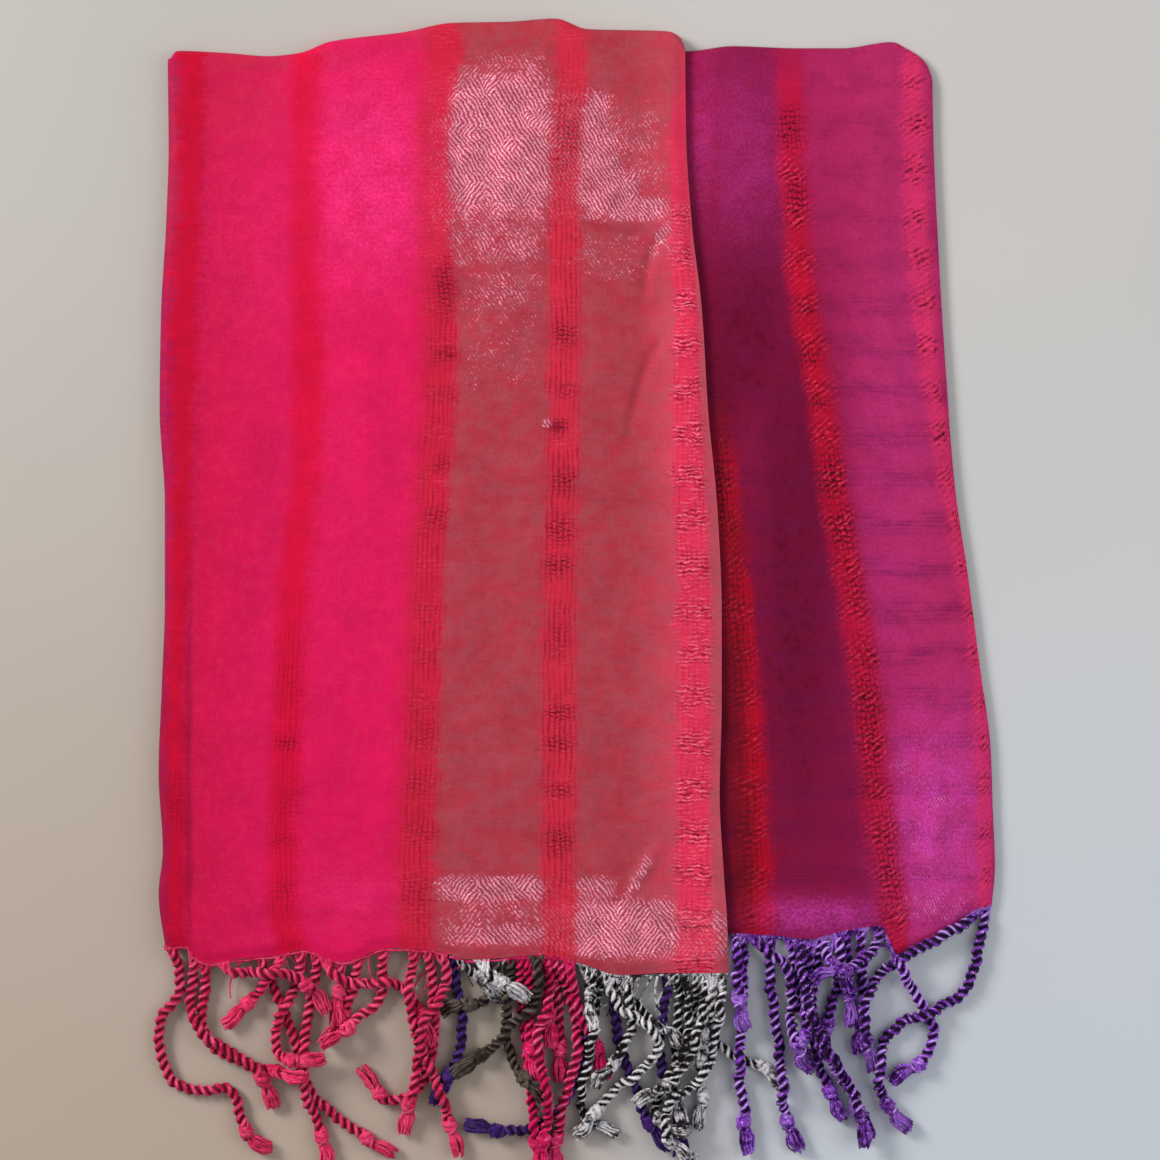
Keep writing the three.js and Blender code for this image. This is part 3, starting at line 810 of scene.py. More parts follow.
class YarnTree:
    """Geometry nodes that turn lines into twisted two-ply strands and thin threads."""

    PLY_SIDES = 7
    THREAD_SIDES = 4
    PLY_RADIUS = 0.62              # for a strand's radius of 1, as its way off the middle is
    PLY_OFFSET = 0.4

    def __init__(self) -> None:
        """Builds the tree and its named inputs."""
        self.tree = bpy.data.node_groups.new("yarn", "GeometryNodeTree")
        face = self.tree.interface
        face.new_socket("Geometry", in_out="OUTPUT", socket_type="NodeSocketGeometry")
        face.new_socket("Geometry", in_out="INPUT", socket_type="NodeSocketGeometry")
        kinds = {"Strands": "Object", "Threads": "Object", "Ply Radius": "Float", "Ply Offset": "Float",
                 "Turn": "Float", "Ply Sides": "Int", "Thread Sides": "Int", "Finish": "Material"}
        self.inputs = {
            name: face.new_socket(name, in_out="INPUT", socket_type=f"NodeSocket{kind}").identifier
            for name, kind in kinds.items()
        }
        self.given = self.tree.nodes.new("NodeGroupInput")
        joined = self.node("GeometryNodeJoinGeometry", {"Geometry": self.threads()})
        self.tree.links.new(self.strands(), joined.node.inputs["Geometry"])
        smooth = self.node("GeometryNodeSetShadeSmooth", {"Geometry": joined})
        real = self.node("GeometryNodeRealizeInstances", {"Geometry": smooth})
        dressed = self.node("GeometryNodeSetMaterial",
                            {"Geometry": real, "Material": self.given.outputs["Finish"]})
        out = self.tree.nodes.new("NodeGroupOutput")
        self.tree.links.new(dressed, out.inputs["Geometry"])

    def node(self, kind: str, inputs: dict[str | int, object], settings: dict[str, object] | None = None,
             output: str | int = 0) -> bpy.types.NodeSocket:
        """Adds a node.

        Args:
            kind: its type.
            inputs: links or values of its sockets.
            settings: its own properties, set first.
            output: the socket to give back.

        Returns:
            That output socket.
        """
        node = self.tree.nodes.new(kind)
        for key, value in (settings or {}).items():
            setattr(node, key, value)
        return fed(self.tree, node, inputs).outputs[output]

    def stored(self, geometry: bpy.types.NodeSocket, name: str, value: object) -> bpy.types.NodeSocket:
        """Keeps a value on every point under a name."""
        return self.node("GeometryNodeStoreNamedAttribute",
                         {"Geometry": geometry, "Name": name, "Value": value},
                         {"data_type": "FLOAT", "domain": "POINT"})

    def lines(self, source: str) -> tuple[bpy.types.NodeSocket, bpy.types.NodeSocket]:
        """The lines of an object with their tone and length kept, and their running length."""
        curve = self.node("GeometryNodeObjectInfo", {"Object": self.given.outputs[source]},
                          output="Geometry")
        tone = self.node("GeometryNodeInputNamedAttribute", {"Name": "tilt"}, {"data_type": "FLOAT"})
        length = self.node("GeometryNodeSplineParameter", {}, output="Length")
        kept = self.stored(self.stored(curve, "tone", tone), "along", length)
        return kept, length

    def ply(self, index: int) -> bpy.types.NodeSocket:
        """The round section of one ply, off the strand's middle."""
        circle = self.node("GeometryNodeCurvePrimitiveCircle",
                           {"Resolution": self.given.outputs["Ply Sides"],
                            "Radius": self.given.outputs["Ply Radius"]})
        sign = 1.0 - 2.0 * index
        offset = self.node("ShaderNodeMath", {0: self.given.outputs["Ply Offset"], 1: sign},
                           {"operation": "MULTIPLY"})
        place = self.node("ShaderNodeCombineXYZ", {"X": offset})
        moved = self.node("GeometryNodeTransform", {"Geometry": circle, "Translation": place})
        across = self.node("ShaderNodeSeparateXYZ", {"Vector": self.node("GeometryNodeInputPosition", {})})
        out = self.node("ShaderNodeMath", {0: across}, {"operation": "ABSOLUTE"})
        return self.stored(self.stored(moved, "ply", float(index)), "crest", out)

    def strands(self) -> bpy.types.NodeSocket:
        """Two plies turning round each line."""
        kept, length = self.lines("Strands")
        turn = self.node("ShaderNodeMath", {0: length, 1: self.given.outputs["Turn"]},
                         {"operation": "MULTIPLY"})
        twisted = self.node("GeometryNodeSetCurveTilt", {"Curve": kept, "Tilt": turn})
        section = self.node("GeometryNodeJoinGeometry", {"Geometry": self.ply(0)})
        self.tree.links.new(self.ply(1), section.node.inputs["Geometry"])
        return self.swept(twisted, section)

    def threads(self) -> bpy.types.NodeSocket:
        """One thin round thread along each line."""
        kept, _ = self.lines("Threads")
        straight = self.node("GeometryNodeSetCurveTilt", {"Curve": kept, "Tilt": 0.0})
        circle = self.node("GeometryNodeCurvePrimitiveCircle",
                           {"Resolution": self.given.outputs["Thread Sides"], "Radius": 1.0})
        marked = self.stored(self.stored(circle, "ply", 0.5), "crest", 0.8)
        return self.swept(straight, marked)

    def swept(self, curve: bpy.types.NodeSocket, section: bpy.types.NodeSocket) -> bpy.types.NodeSocket:
        """A section carried along a curve at the curve's own radius."""
        radius = self.node("GeometryNodeInputRadius", {})
        return self.node("GeometryNodeCurveToMesh",
                         {"Curve": curve, "Profile Curve": section, "Scale": radius, "Fill Caps": True})


@dataclass
class Fringe:
    """The twisted strands of one part of a hem, with their knots, loose ends and roots."""

    name: str
    node: str
    slot: str
    hem: Hem
    strands: tuple[Strand, ...]
    start: float                   # where its part of the hem begins
    end: float
    seed: int
    radius: float = 2.8            # of a strand
    clears: bool = True            # whether its strands lie over the open hems
    pitch: float = 8.8             # length of one turn of the twist
    fibres: int = 30               # in a tuft
    kink: float = 1.0              # how much its strands bend to and fro
    wisps: int = 8
    root_threads: int = 6          # of a strand

    def __post_init__(self) -> None:
        """Gives the fringe its own seeded chance."""
        self.chance = np.random.default_rng(self.seed)

    def track(self, strand: Strand) -> Track:
        """A strand's way over the table, with a little kink to it.

        Args:
            strand: the strand's row.

        Returns:
            Its line in steps of a millimetre, flat on the table.
        """
        length = HEADING_STEP * (len(strand.headings) - 1)
        along = np.arange(0, length + 1)
        stops = np.arange(len(strand.headings)) * HEADING_STEP
        turn = np.radians(np.interp(along[1:] - 0.5, stops, strand.headings))
        x = strand.at + np.concatenate([[0], np.cumsum(np.sin(turn))])
        start = float(self.hem.curve(strand.at)) - SEAM_GAP - STRIP_WIDTH / 2
        y = start - np.concatenate([[0], np.cumsum(np.cos(turn))])
        phase = self.chance.uniform(0, 2 * math.pi, 3)
        kink = sum(reach * np.sin(along / pitch + begin) for (reach, pitch), begin in zip(KINKS, phase))
        kink *= soft(along / KINK_START) * self.kink
        side = np.concatenate([turn[:1], turn])
        knot = length - TUFT_LENGTH - KNOT_LENGTH / 2
        radius = through([
            (0, self.radius * 0.5), (5, self.radius * 0.9), (9, self.radius),
            (knot - 5, self.radius), (knot, self.radius * 1.2), (knot + 5, self.radius * 1.1),
            (length - 5, self.radius * 1.2), (length, self.radius),
        ])(along)
        return Track(x + kink * np.cos(side), y + kink * np.sin(side), along * 0.0, along, radius)

    def tone(self, strand: Strand) -> float:
        """The number by which the finish tells a strand's colourway and its own shade."""
        return strand.way.value + float(self.chance.uniform(0.05, 0.9))

    def knot_wraps(self, track: Track, tone: float) -> list[Thread]:
        """The turns of the overhand knot above a strand's loose ends.

        Args:
            track: the strand's line.
            tone: the strand's tone.

        Returns:
            Two thick threads.
        """
        middle = track.along[-1] - TUFT_LENGTH - KNOT_LENGTH / 2
        t = np.linspace(0, 1, WRAP_STEPS)
        along = middle + (t - 0.5) * KNOT_LENGTH * 0.8
        centre = track.at(along)
        ahead = np.gradient(centre, axis=0)
        ahead /= np.linalg.norm(ahead, axis=1, keepdims=True)
        across = np.cross(ahead, (0, 0, 1))
        across /= np.linalg.norm(across, axis=1, keepdims=True)
        above = np.cross(across, ahead)
        first = self.chance.uniform(0, 2 * math.pi)
        made = []
        for start in (first, first + math.pi):
            angle = start + 2 * math.pi * WRAP_TURNS * t
            swing = self.radius * WRAP_SWING
            points = centre + swing * (across * np.cos(angle)[:, None] + above * np.sin(angle)[:, None])
            girth = self.radius * WRAP_GIRTH * np.sin(np.pi * np.clip(t, 0.08, 0.92)) ** 0.3
            points[:, 2] = np.maximum(points[:, 2], girth + 0.12)
            made.append(Thread(points, girth, tone))
        return made

    def tuft(self, track: Track, tone: float) -> list[Thread]:
        """The loose ends past a strand's knot.

        Args:
            track: the strand's line.
            tone: the strand's tone.

        Returns:
            One thread for each fibre.
        """
        first = track.along[-1] - TUFT_LENGTH - TUFT_START
        heading = math.atan2(np.gradient(track.x)[-8:].mean(), -np.gradient(track.y)[-8:].mean())
        made = []
        for _ in range(self.fibres):
            angle, spread = self.chance.uniform(0, 2 * math.pi), math.sqrt(self.chance.uniform(0.02, 1))
            reach = TUFT_LENGTH + TUFT_START - self.chance.uniform(0, 2.6)
            t = np.linspace(0, 1, TUFT_STEPS)
            along = first + reach * t
            open_by = self.radius * (0.55 + 0.75 * soft(t * 1.9) - 0.2 * t ** 5) * spread
            wave = 0.4 * np.sin(t * self.chance.uniform(4, 9) + self.chance.uniform(0, 6))
            aside = open_by * math.cos(angle) + wave
            points = track.at(along)
            points[:, 0] += aside * math.cos(heading)
            points[:, 1] += aside * math.sin(heading)
            points[:, 2] += open_by * math.sin(angle) * 0.75
            girth = FIBRE_GIRTH * (1 - 0.3 * t ** 2)
            points[:, 2] = np.maximum(points[:, 2], girth + 0.1)
            made.append(Thread(points, girth, tone + self.chance.uniform(-0.04, 0.04)))
        return made

    def roots(self, strand: Strand, track: Track, tone: float) -> list[Thread]:
        """The warp threads that run from the hem together into a strand.

        Args:
            strand: the strand's row.
            track: its line.
            tone: its tone.

        Returns:
            The threads.
        """
        made = []
        for k in range(self.root_threads):
            out = (k / (self.root_threads - 1) - 0.5) * ROOT_SPREAD + self.chance.uniform(-0.5, 0.5)
            x = min(max(strand.at + out, self.start), self.end)
            begin = np.array([x, float(self.hem.curve(x)) + 0.4, self.hem.z])
            meet = self.chance.uniform(5.5, 10)
            t = np.linspace(0, 1, ROOT_STEPS)[:, None]
            points = begin + (track.at(meet) - begin) * t
            points[:, 0] += (strand.at + out * 0.5 - points[:, 0]) * 0.5 * np.sin(np.pi * t[:, 0])
            points[:, 2] -= 0.5 * np.sin(np.pi * t[:, 0])
            made.append(Thread(points, ROOT_GIRTH + 0.5 * t[:, 0], tone))
        return made

    def wisp(self) -> Thread:
        """A thin loose yarn that wanders away from the hem between the strands."""
        along = np.linspace(0, self.chance.uniform(10, 30), WISP_STEPS)
        swing = self.chance.uniform(0.3, 0.8)
        bend = swing * np.sin(along / self.chance.uniform(6, 14) + self.chance.uniform(0, 6))
        heading = np.clip(self.chance.uniform(-0.6, 0.6) + bend, -1.35, 1.35)
        step = along[1]
        first = self.chance.uniform(self.start + 4, self.end - 4)
        x = first + np.cumsum(np.sin(heading)) * step
        y = float(self.hem.curve(first)) - SEAM_GAP - np.cumsum(np.cos(heading)) * step
        level = self.chance.uniform(1.0, 5.0)
        z = self.hem.z + (level - self.hem.z) * soft(along / 9)
        girth = self.chance.uniform(0.4, 0.7) * (1 - 0.4 * along / along[-1])
        tone = self.tone(self.strands[self.chance.integers(len(self.strands))])
        return Thread(np.stack([x, y, z], axis=1), girth, tone)

    def hem_thread(self) -> Thread:
        """The thread that binds the hem's edge, from which the strands come."""
        x = np.arange(self.start, self.end, HEM_THREAD_STEP)
        y = self.hem.curve(x) - SEAM_GAP - 0.7
        z = np.full(len(x), self.hem.z - 0.1)
        points = np.stack([x, y + 0.25 * np.sin(x / 1.9 + self.seed), z], axis=1)
        return Thread(points, np.full(len(x), HEM_THREAD_GIRTH), self.strands[0].way.value + 0.3)

    def build(self, tree: YarnTree, pile: Pile, material: bpy.types.Material) -> bpy.types.Object:
        """Lays the strands on the pile and makes them one mesh.

        Args:
            tree: the nodes that sweep the yarn.
            pile: what lies on the table already.
            material: the yarn's finish.

        Returns:
            The fringe as one piece.
        """
        cords: list[Thread] = []
        threads = [self.hem_thread()] + [self.wisp() for _ in range(self.wisps)]
        for strand in self.strands:
            tone = self.tone(strand)
            track = pile.lay(self.hem, self.track(strand), self.clears)
            body = track.along <= track.along[-1] - TUFT_LENGTH + 1
            fine = np.arange(0, track.along[body][-1], CORD_STEP)
            cords.append(Thread(track.at(fine), np.interp(fine, track.along, track.radius), tone))
            threads += self.knot_wraps(track, tone)
            threads += self.tuft(track, tone)
            threads += self.roots(strand, track, tone)
        sources = [curve_object(f"{self.name}_cords", cords), curve_object(f"{self.name}_threads", threads)]
        carrier = linked(f"{self.name}_carrier", bpy.data.meshes.new(f"{self.name}_carrier"))
        modifier = carrier.modifiers.new("yarn", "NODES")
        modifier.node_group = tree.tree
        given = {"Strands": sources[0], "Threads": sources[1], "Ply Radius": tree.PLY_RADIUS,
                 "Ply Offset": tree.PLY_OFFSET, "Turn": 2 * math.pi / (self.pitch * MM),
                 "Ply Sides": tree.PLY_SIDES, "Thread Sides": tree.THREAD_SIDES, "Finish": material}
        for key, value in given.items():
            modifier[tree.inputs[key]] = value
        evaluated = carrier.evaluated_get(bpy.context.evaluated_depsgraph_get())
        mesh = bpy.data.meshes.new_from_object(evaluated)
        carrier.modifiers.remove(modifier)
        for spare in (carrier, *sources):
            bpy.data.objects.remove(spare)
        mesh.name = self.name
        return handed(linked(self.name, mesh), self.node)


# ---------------------------------------------------------------- finishes

def dye(red: int, green: int, blue: int) -> Colour:
    """A colour as the shaders' linear light.

    Args:
        red: its red, from 0 to 255, as a screen shows it.
        green: its green.
        blue: its blue.

    Returns:
        Red, green, blue and an alpha of 1.
    """
    def linear(value: int) -> float:
        """One channel as light."""
        share = value / 255
        return share / 12.92 if share <= 0.04045 else ((share + 0.055) / 1.055) ** 2.4
    return linear(red), linear(green), linear(blue), 1.0


class Wire:
    """A number that varies over a surface: a socket with arithmetic."""

    def __init__(self, recipe: "Recipe", socket: bpy.types.NodeSocket) -> None:
        """Wraps a socket of a recipe's tree."""
        self.recipe = recipe
        self.socket = socket

    def math(self, operation: str, *others: "Wire | float") -> "Wire":
        """A Math node on this number and others."""
        return self.recipe.node("ShaderNodeMath", {"operation": operation}, dict(enumerate((self, *others))))

    def __add__(self, other: "Wire | float") -> "Wire":
        """The sum."""
        return self.math("ADD", other)

    __radd__ = __add__

    def __mul__(self, other: "Wire | float") -> "Wire":
        """The product."""
        return self.math("MULTIPLY", other)

    __rmul__ = __mul__

    def __sub__(self, other: "Wire | float") -> "Wire":
        """The difference."""
        return self.math("SUBTRACT", other)

    def __rsub__(self, other: float) -> "Wire":
        """A number less this one."""
        return self.recipe.node("ShaderNodeMath", {"operation": "SUBTRACT"}, {0: other, 1: self})

    def wave(self, pitch: float) -> "Wire":
        """A wave from 0 to 1 that repeats once for each pitch."""
        return (self * (2 * math.pi / pitch)).math("SINE") * 0.5 + 0.5

    def step(self, low: float, high: float) -> "Wire":
        """A smooth step from 0 at low to 1 at high."""
        return self.recipe.node("ShaderNodeMapRange", {"interpolation_type": "SMOOTHSTEP"},
                                {"Value": self, "From Min": low, "From Max": high})

    def above(self, limit: float) -> "Wire":
        """1 where this number is over the limit, and 0 elsewhere."""
        return self.math("GREATER_THAN", limit)

    def most(self, other: "Wire | float") -> "Wire":
        """The larger of the two."""
        return self.math("MAXIMUM", other)

    def kept(self) -> "Wire":
        """The number, kept between 0 and 1."""
        return self.math("MINIMUM", 1.0).math("MAXIMUM", 0.0)


class Surface(NamedTuple):
    """How a finish takes the light."""

    roughness: float
    relief: float              # what a height of 1 is, in metres
    fuzz: float                # how strongly loose fibres catch the light
    tint: Colour               # the colour of that light


CLOTH = Surface(0.7, 0.0004, 0.04, dye(255, 180, 205))
CLOTH_EDGES = Surface(0.75, 0.0003, 0.2, dye(255, 205, 220))
YARN = Surface(0.7, 0.0005, 0.12, dye(255, 225, 240))
TABLE_TOP = Surface(0.8, 0.0001, 0.0, dye(255, 255, 255))


class Recipe:
    """A material and the nodes that it is mixed from."""

    GLOSS = 0.07
    SHEEN_ROUGHNESS = 0.45
    DRIFT_GAIN = 5.0           # brings a noise's usual half width up to 1

    def __init__(self, name: str) -> None:
        """Starts a material with its shader and output only."""
        self.material = bpy.data.materials.new(name)
        self.material.use_nodes = True
        self.tree = self.material.node_tree
        self.shader = self.tree.nodes["Principled BSDF"]

    def node(self, kind: str, settings: dict[str, object], inputs: dict[str | int, object],
             output: str | int = 0) -> Wire:
        """Adds a node.

        Args:
            kind: its type.
            settings: its own properties, set first; a ramp's stops are given as "stops".
            inputs: wires or values of its sockets.
            output: the socket to give back.

        Returns:
            That output as a wire.
        """
        node = self.tree.nodes.new(kind)
        for key, value in settings.items():
            if key == "stops":
                self.set_stops(node.color_ramp, value)
            else:
                setattr(node, key, value)
        return Wire(self, fed(self.tree, node, inputs).outputs[output])

    @staticmethod
    def set_stops(ramp: bpy.types.ColorRamp, stops: Sequence[tuple[float, Colour]]) -> None:
        """Gives a ramp its stops."""
        ramp.interpolation = "LINEAR"
        while len(ramp.elements) < len(stops):
            ramp.elements.new(0.5)
        for element, (place, colour) in zip(ramp.elements, sorted(stops)):
            element.position = place
            element.color = colour

    def attribute(self, name: str) -> Wire:
        """A value kept on the mesh."""
        return self.node("ShaderNodeAttribute", {"attribute_name": name}, {}, "Fac")

    def vector(self, x: "Wire | float", y: "Wire | float", z: "Wire | float" = 0.0) -> Wire:
        """Three numbers as a place."""
        return self.node("ShaderNodeCombineXYZ", {}, {0: x, 1: y, 2: z})

    def parts(self, vector: Wire) -> tuple[Wire, Wire, Wire]:
        """The three numbers of a place."""
        node = self.tree.nodes.new("ShaderNodeSeparateXYZ")
        self.tree.links.new(vector.socket, node.inputs[0])
        return Wire(self, node.outputs[0]), Wire(self, node.outputs[1]), Wire(self, node.outputs[2])

    def noise(self, place: Wire, scale: float, detail: float = 2.0, rough: float = 0.5) -> Wire:
        """Cloudy chance from 0 to 1 round 0.5."""
        return self.node("ShaderNodeTexNoise", {"noise_dimensions": "3D"},
                         {"Vector": place, "Scale": scale, "Detail": detail, "Roughness": rough})

    def drift(self, place: Wire, reach: float) -> Wire:
        """Slow chance that wanders about as far as its reach to either side of 0."""
        return (self.noise(place, 1.0, 2.0) - 0.5) * (self.DRIFT_GAIN * reach)

    def mix(self, share: "Wire | float", first: "Wire | Colour", second: "Wire | Colour") -> Wire:
        """A blend of two colours."""
        return self.node("ShaderNodeMix", {"data_type": "RGBA", "clamp_factor": True},
                         {0: share, 6: first, 7: second}, 2)

    def scaled(self, colour: Wire, by: Wire) -> Wire:
        """A colour made lighter or darker."""
        return self.node("ShaderNodeVectorMath", {"operation": "SCALE"}, {0: colour, 3: by})

    def finish(self, colour: Wire, height: Wire, surface: Surface) -> bpy.types.Material:
        """Feeds the shader.

        Args:
            colour: the base colour.
            height: the relief, about 0 to 1.
            surface: how it takes the light.

        Returns:
            The material.
        """
        normal = self.node("ShaderNodeBump", {},
                           {"Height": height, "Strength": 1.0, "Distance": surface.relief})
        fed(self.tree, self.shader, {
            "Base Color": colour, "Roughness": surface.roughness, "Normal": normal,
            "Specular IOR Level": self.GLOSS, "Sheen Weight": surface.fuzz,
            "Sheen Roughness": self.SHEEN_ROUGHNESS, "Sheen Tint": surface.tint,
        })
        return self.material


class Band(NamedTuple):
    """A band of open, puckered red warp."""

    at: float                  # its middle, across the cloth
    half: float                # half its width
    colour: Colour
    threads: float             # how much its fine lengthwise threads stand out
    pucker: float              # how much it crinkles
    open_below: float          # its threads stand out from this height down
    feather: float = 3.0       # how softly it ends to either side
    quiet_above: float = 400.0 # it doesn't crinkle above this height
    fades_above: float = 400.0 # it isn't there at all above this one


@dataclass(frozen=True)
class StripedFinish:
    """Fine striped twill: grounds, red bands, darker dye, painted light and shade, and a painted silvery
    sheen.
    """

    name: str
    grounds: tuple[tuple[float, Colour], ...]
    bands: tuple[Band, ...]
    # colour of the painted highlight, and in a few zones of a lighter dye tint
    tint_and_highlight: Colour
    shade: Colour
    blotch: Colour
    blotches: float            # how much grey or purple blotches show
    blotch_from: float         # from this place across
    rows: float                # how much of the blotches lies in rows
    # colour of the painted highlights on the pucker's crests
    pucker_light: Colour
    # colours of the painted sheen over the twill
    sheen_light: Colour
    sheen_dark: Colour
    # colour of the dark threads and breaks, and of the painted shade in the pucker's hollows
    dark_weave_and_shade: Colour
    hollow: Colour             # where the cloth lies in deep shade
    low: float = -20.0
    high: float = 280.0
    twill_pitch: float = 1.7
    thread_pitch: float = 2.4
    pucker_pitch: float = 2.0
    pucker_lean: float = 0.0   # how far its ridges slope
    sparkle: float = 1.0       # painted white glints in the painted sheen
    glinting: float = 0.1      # painted fine glints where the painted highlight lies
    row_pitch: float = 21.1    # between two denser rows of weft
    row_start: float = 10.5

    WEFT_PITCH = 1.95
    TWILL_ACROSS = 0.82        # the way of the twill's lines over the cloth
    TWILL_ALONG = 0.57
    SHEEN_GAIN = 1.45          # how a sheen zone's strength turns into painted sheen
    SHEEN_START = 0.42
    # colour of the painted glints
    SPARKLE_COLOUR = dye(252, 226, 234)

    def mixed(self) -> bpy.types.Material:
        """The finish as a material."""
        mix = Recipe(self.name)
        u, v, _ = mix.parts(mix.node("ShaderNodeUVMap", {"uv_map": "weave"}, {}))
        u, v = u * UV_MM, v * UV_MM
        place = mix.vector(u, v)

        def chance(across: float, along: float, detail: float = 2.0, rough: float = 0.5) -> Wire:
            """Noise that changes that often for a millimetre across and along the cloth."""
            return mix.noise(mix.vector(u * across, v * along), 1.0, detail, rough)

        def drift(across: float, along: float, reach: float) -> Wire:
            """The same, as a drift to either side of 0."""
            return mix.drift(mix.vector(u * across, v * along), reach)

        cloudy = mix.noise(place, 0.05, 3.0, 0.6)
        mottle = mix.noise(place, 0.2, 3.0, 0.65)
        speck = mix.noise(place, 0.62, 2.0, 0.6)
        warp_streak = chance(1.4, 0.05)
        weft_streak = chance(0.05, 1.0)
        ragged = (u + drift(0.1, 0.9, 1.3)
                  + drift(0.09, 0.06, 1.6) + drift(0.4, 0.4, 0.8))

        span = self.high - self.low
        stops = [((place_mm - self.low) / span, colour) for place_mm, colour in self.grounds]
        colour = mix.node("ShaderNodeValToRGB", {"stops": stops}, {"Fac": (ragged - self.low) * (1 / span)})
        # Darker, greyer or plum dye in places, and painted shade by the top fold, a crease and the upper
        # stretch's edge.
        shade = mix.attribute("shade") * (0.4 + cloudy * 1.1)
        colour = mix.mix((shade + (mottle.step(0.5, 0.66) * 0.22)).kept(), colour, self.shade)
        beat = (v + self.row_start + drift(0.03, 0.03, 2.0)).wave(self.row_pitch)
        beat = beat.step(0.15, 1.0)
        weft = (v + drift(0.06, 0.1, 0.5)).wave(self.WEFT_PITCH)
        lines = beat * (chance(0.03, 0.35).step(0.3, 0.66) * 0.6
                        + weft * chance(0.05, 0.2).step(0.35, 0.6) * 0.7)
        lines = lines * (1 - v.step(60.0, 250.0) * 0.7)
        blots = chance(0.085, 0.11, 4.0, 0.66).step(0.36, 0.64)
        blots = blots * (1 - self.rows) + (lines * (0.4 + blots * 0.6)) * self.rows
        within = u.step(self.blotch_from, self.blotch_from + 14.0)
        colour = mix.mix(blots * within * self.blotches, colour, self.blotch)
        # Painted highlight: lighter patches with fine painted glints; in a few zones only a lighter dye
        # tint.
        tint_and_highlight = mix.attribute("tint_and_highlight")
        worms = mix.noise(place, 0.62, 3.0, 0.62).step(0.38, 0.66)
        broad = mix.noise(place, 0.09, 2.0).step(0.3, 0.7)
        colour = mix.mix((tint_and_highlight * (0.2 + worms * 0.5 + broad * 0.4)).kept(), colour, self.tint_and_highlight)
        glints = mix.noise(place, 0.75, 3.0, 0.65).step(0.54, 0.68) * tint_and_highlight

        # Red bands with feathered edges, their fine warp threads, and their pucker.
        bands, threads, pucker, raised = 0.0, 0.0, 0.0, 0.0
        for band in self.bands:
            far = (ragged - band.at).math("ABSOLUTE")
            core, rim = band.half - band.feather, band.half + band.feather
            inside = 1 - far.step(core, rim)
            inside = inside * (band.fades_above - v).step(-25.0, 25.0)
            colour = mix.mix(inside, colour, band.colour)
            bands = inside + bands
            threads = inside * (band.open_below - v).step(-20.0, 30.0) * band.threads + threads
            crinkled = (band.quiet_above - v).step(-22.0, 12.0) * band.pucker
            pucker = inside * crinkled + pucker
            plain = 1 - (u - band.at).math("ABSOLUTE").step(core, rim)
            raised = plain * crinkled + raised

        # The painted highlight lightens the red bands as well.
        colour = mix.mix((tint_and_highlight * bands * 0.3).kept(), colour, self.tint_and_highlight)
        colour = mix.mix(glints * self.glinting, colour, self.sheen_light)

        sway = drift(0.08, 0.05, 0.8)
        thread = (1 - (u + sway).wave(self.thread_pitch)).step(0.5, 0.95)
        patchy = chance(0.08, 0.07).step(0.38, 0.6)
        patchy = patchy * chance(0.5, 0.16).step(0.3, 0.6)
        colour = mix.mix((threads * thread * (0.14 + patchy * 0.5)).kept(), colour, self.dark_weave_and_shade)

        # Short dark breaks, where the weft pulls the warp apart.
        breaks = (mix.attribute("breaks") * (bands + 0.15)).kept()
        rows = (v + drift(0.3, 0.15, 0.9)).wave(self.pucker_pitch)
        dashes = chance(0.45, 0.7).step(0.36, 0.54)
        dark_rows = (rows.step(0.35, 0.8) * dashes).most(thread * 0.6)
        colour = mix.mix((breaks * dark_rows * 0.95).kept(), colour, self.dark_weave_and_shade)

        # Puckered weft, in short ridges, with painted highlights on their crests and painted shade in their
        # hollows.
        bent = drift(0.1, 0.12, 0.9) + drift(0.45, 0.3, 0.5)
        ridge = (v + u * self.pucker_lean + bent).wave(self.pucker_pitch)
        chop = chance(0.2, 0.42, 3.0, 0.6).step(0.42, 0.58)
        strong = pucker * (0.08 + chance(0.1, 0.06).step(0.4, 0.6) * 0.34 + beat * 0.72)
        lit = chance(0.3, 0.5, 2.0, 0.6).step(0.42, 0.58)
        hollows = (strong * (1 - ridge).step(0.4, 0.95) * chop * 0.8).kept()
        crests = (strong * ridge.step(0.5, 0.95) * lit * 0.55).kept()
        colour = mix.mix(hollows, colour, self.dark_weave_and_shade)
        colour = mix.mix(crests, colour, self.pucker_light)

        # Twill lines, turning here and there from one diagonal to the other, under a painted silvery sheen:
        # painted highlights where the twill catches the light.
        sheen = mix.attribute("sheen")
        torn = drift(0.14, 0.14, 0.2) + drift(0.5, 0.5, 0.3) + drift(1.2, 1.2, 0.3)
        torn = torn * (sheen * 4).kept()
        shows = (sheen * self.SHEEN_GAIN - self.SHEEN_START + torn).step(0.0, 0.75)
        shows = shows * (1 - (bands * 0.75).kept())
        lean = drift(0.05, 0.05, 0.8) + drift(0.2, 0.2, 0.4) + drift(0.7, 0.7, 0.2)
        across, along = u * self.TWILL_ACROSS, v * self.TWILL_ALONG
        falling = (across + along + lean).wave(self.twill_pitch)
        rising = (across - along + lean).wave(self.twill_pitch)
        turned = mix.noise(place, 0.05, 3.0).step(0.55, 0.6)
        grain = mix.noise(place, 1.1, 2.0, 0.6)
        twill = (rising * turned + falling * (1 - turned)) * 0.8 + (grain - 0.5) * 1.9 + 0.1
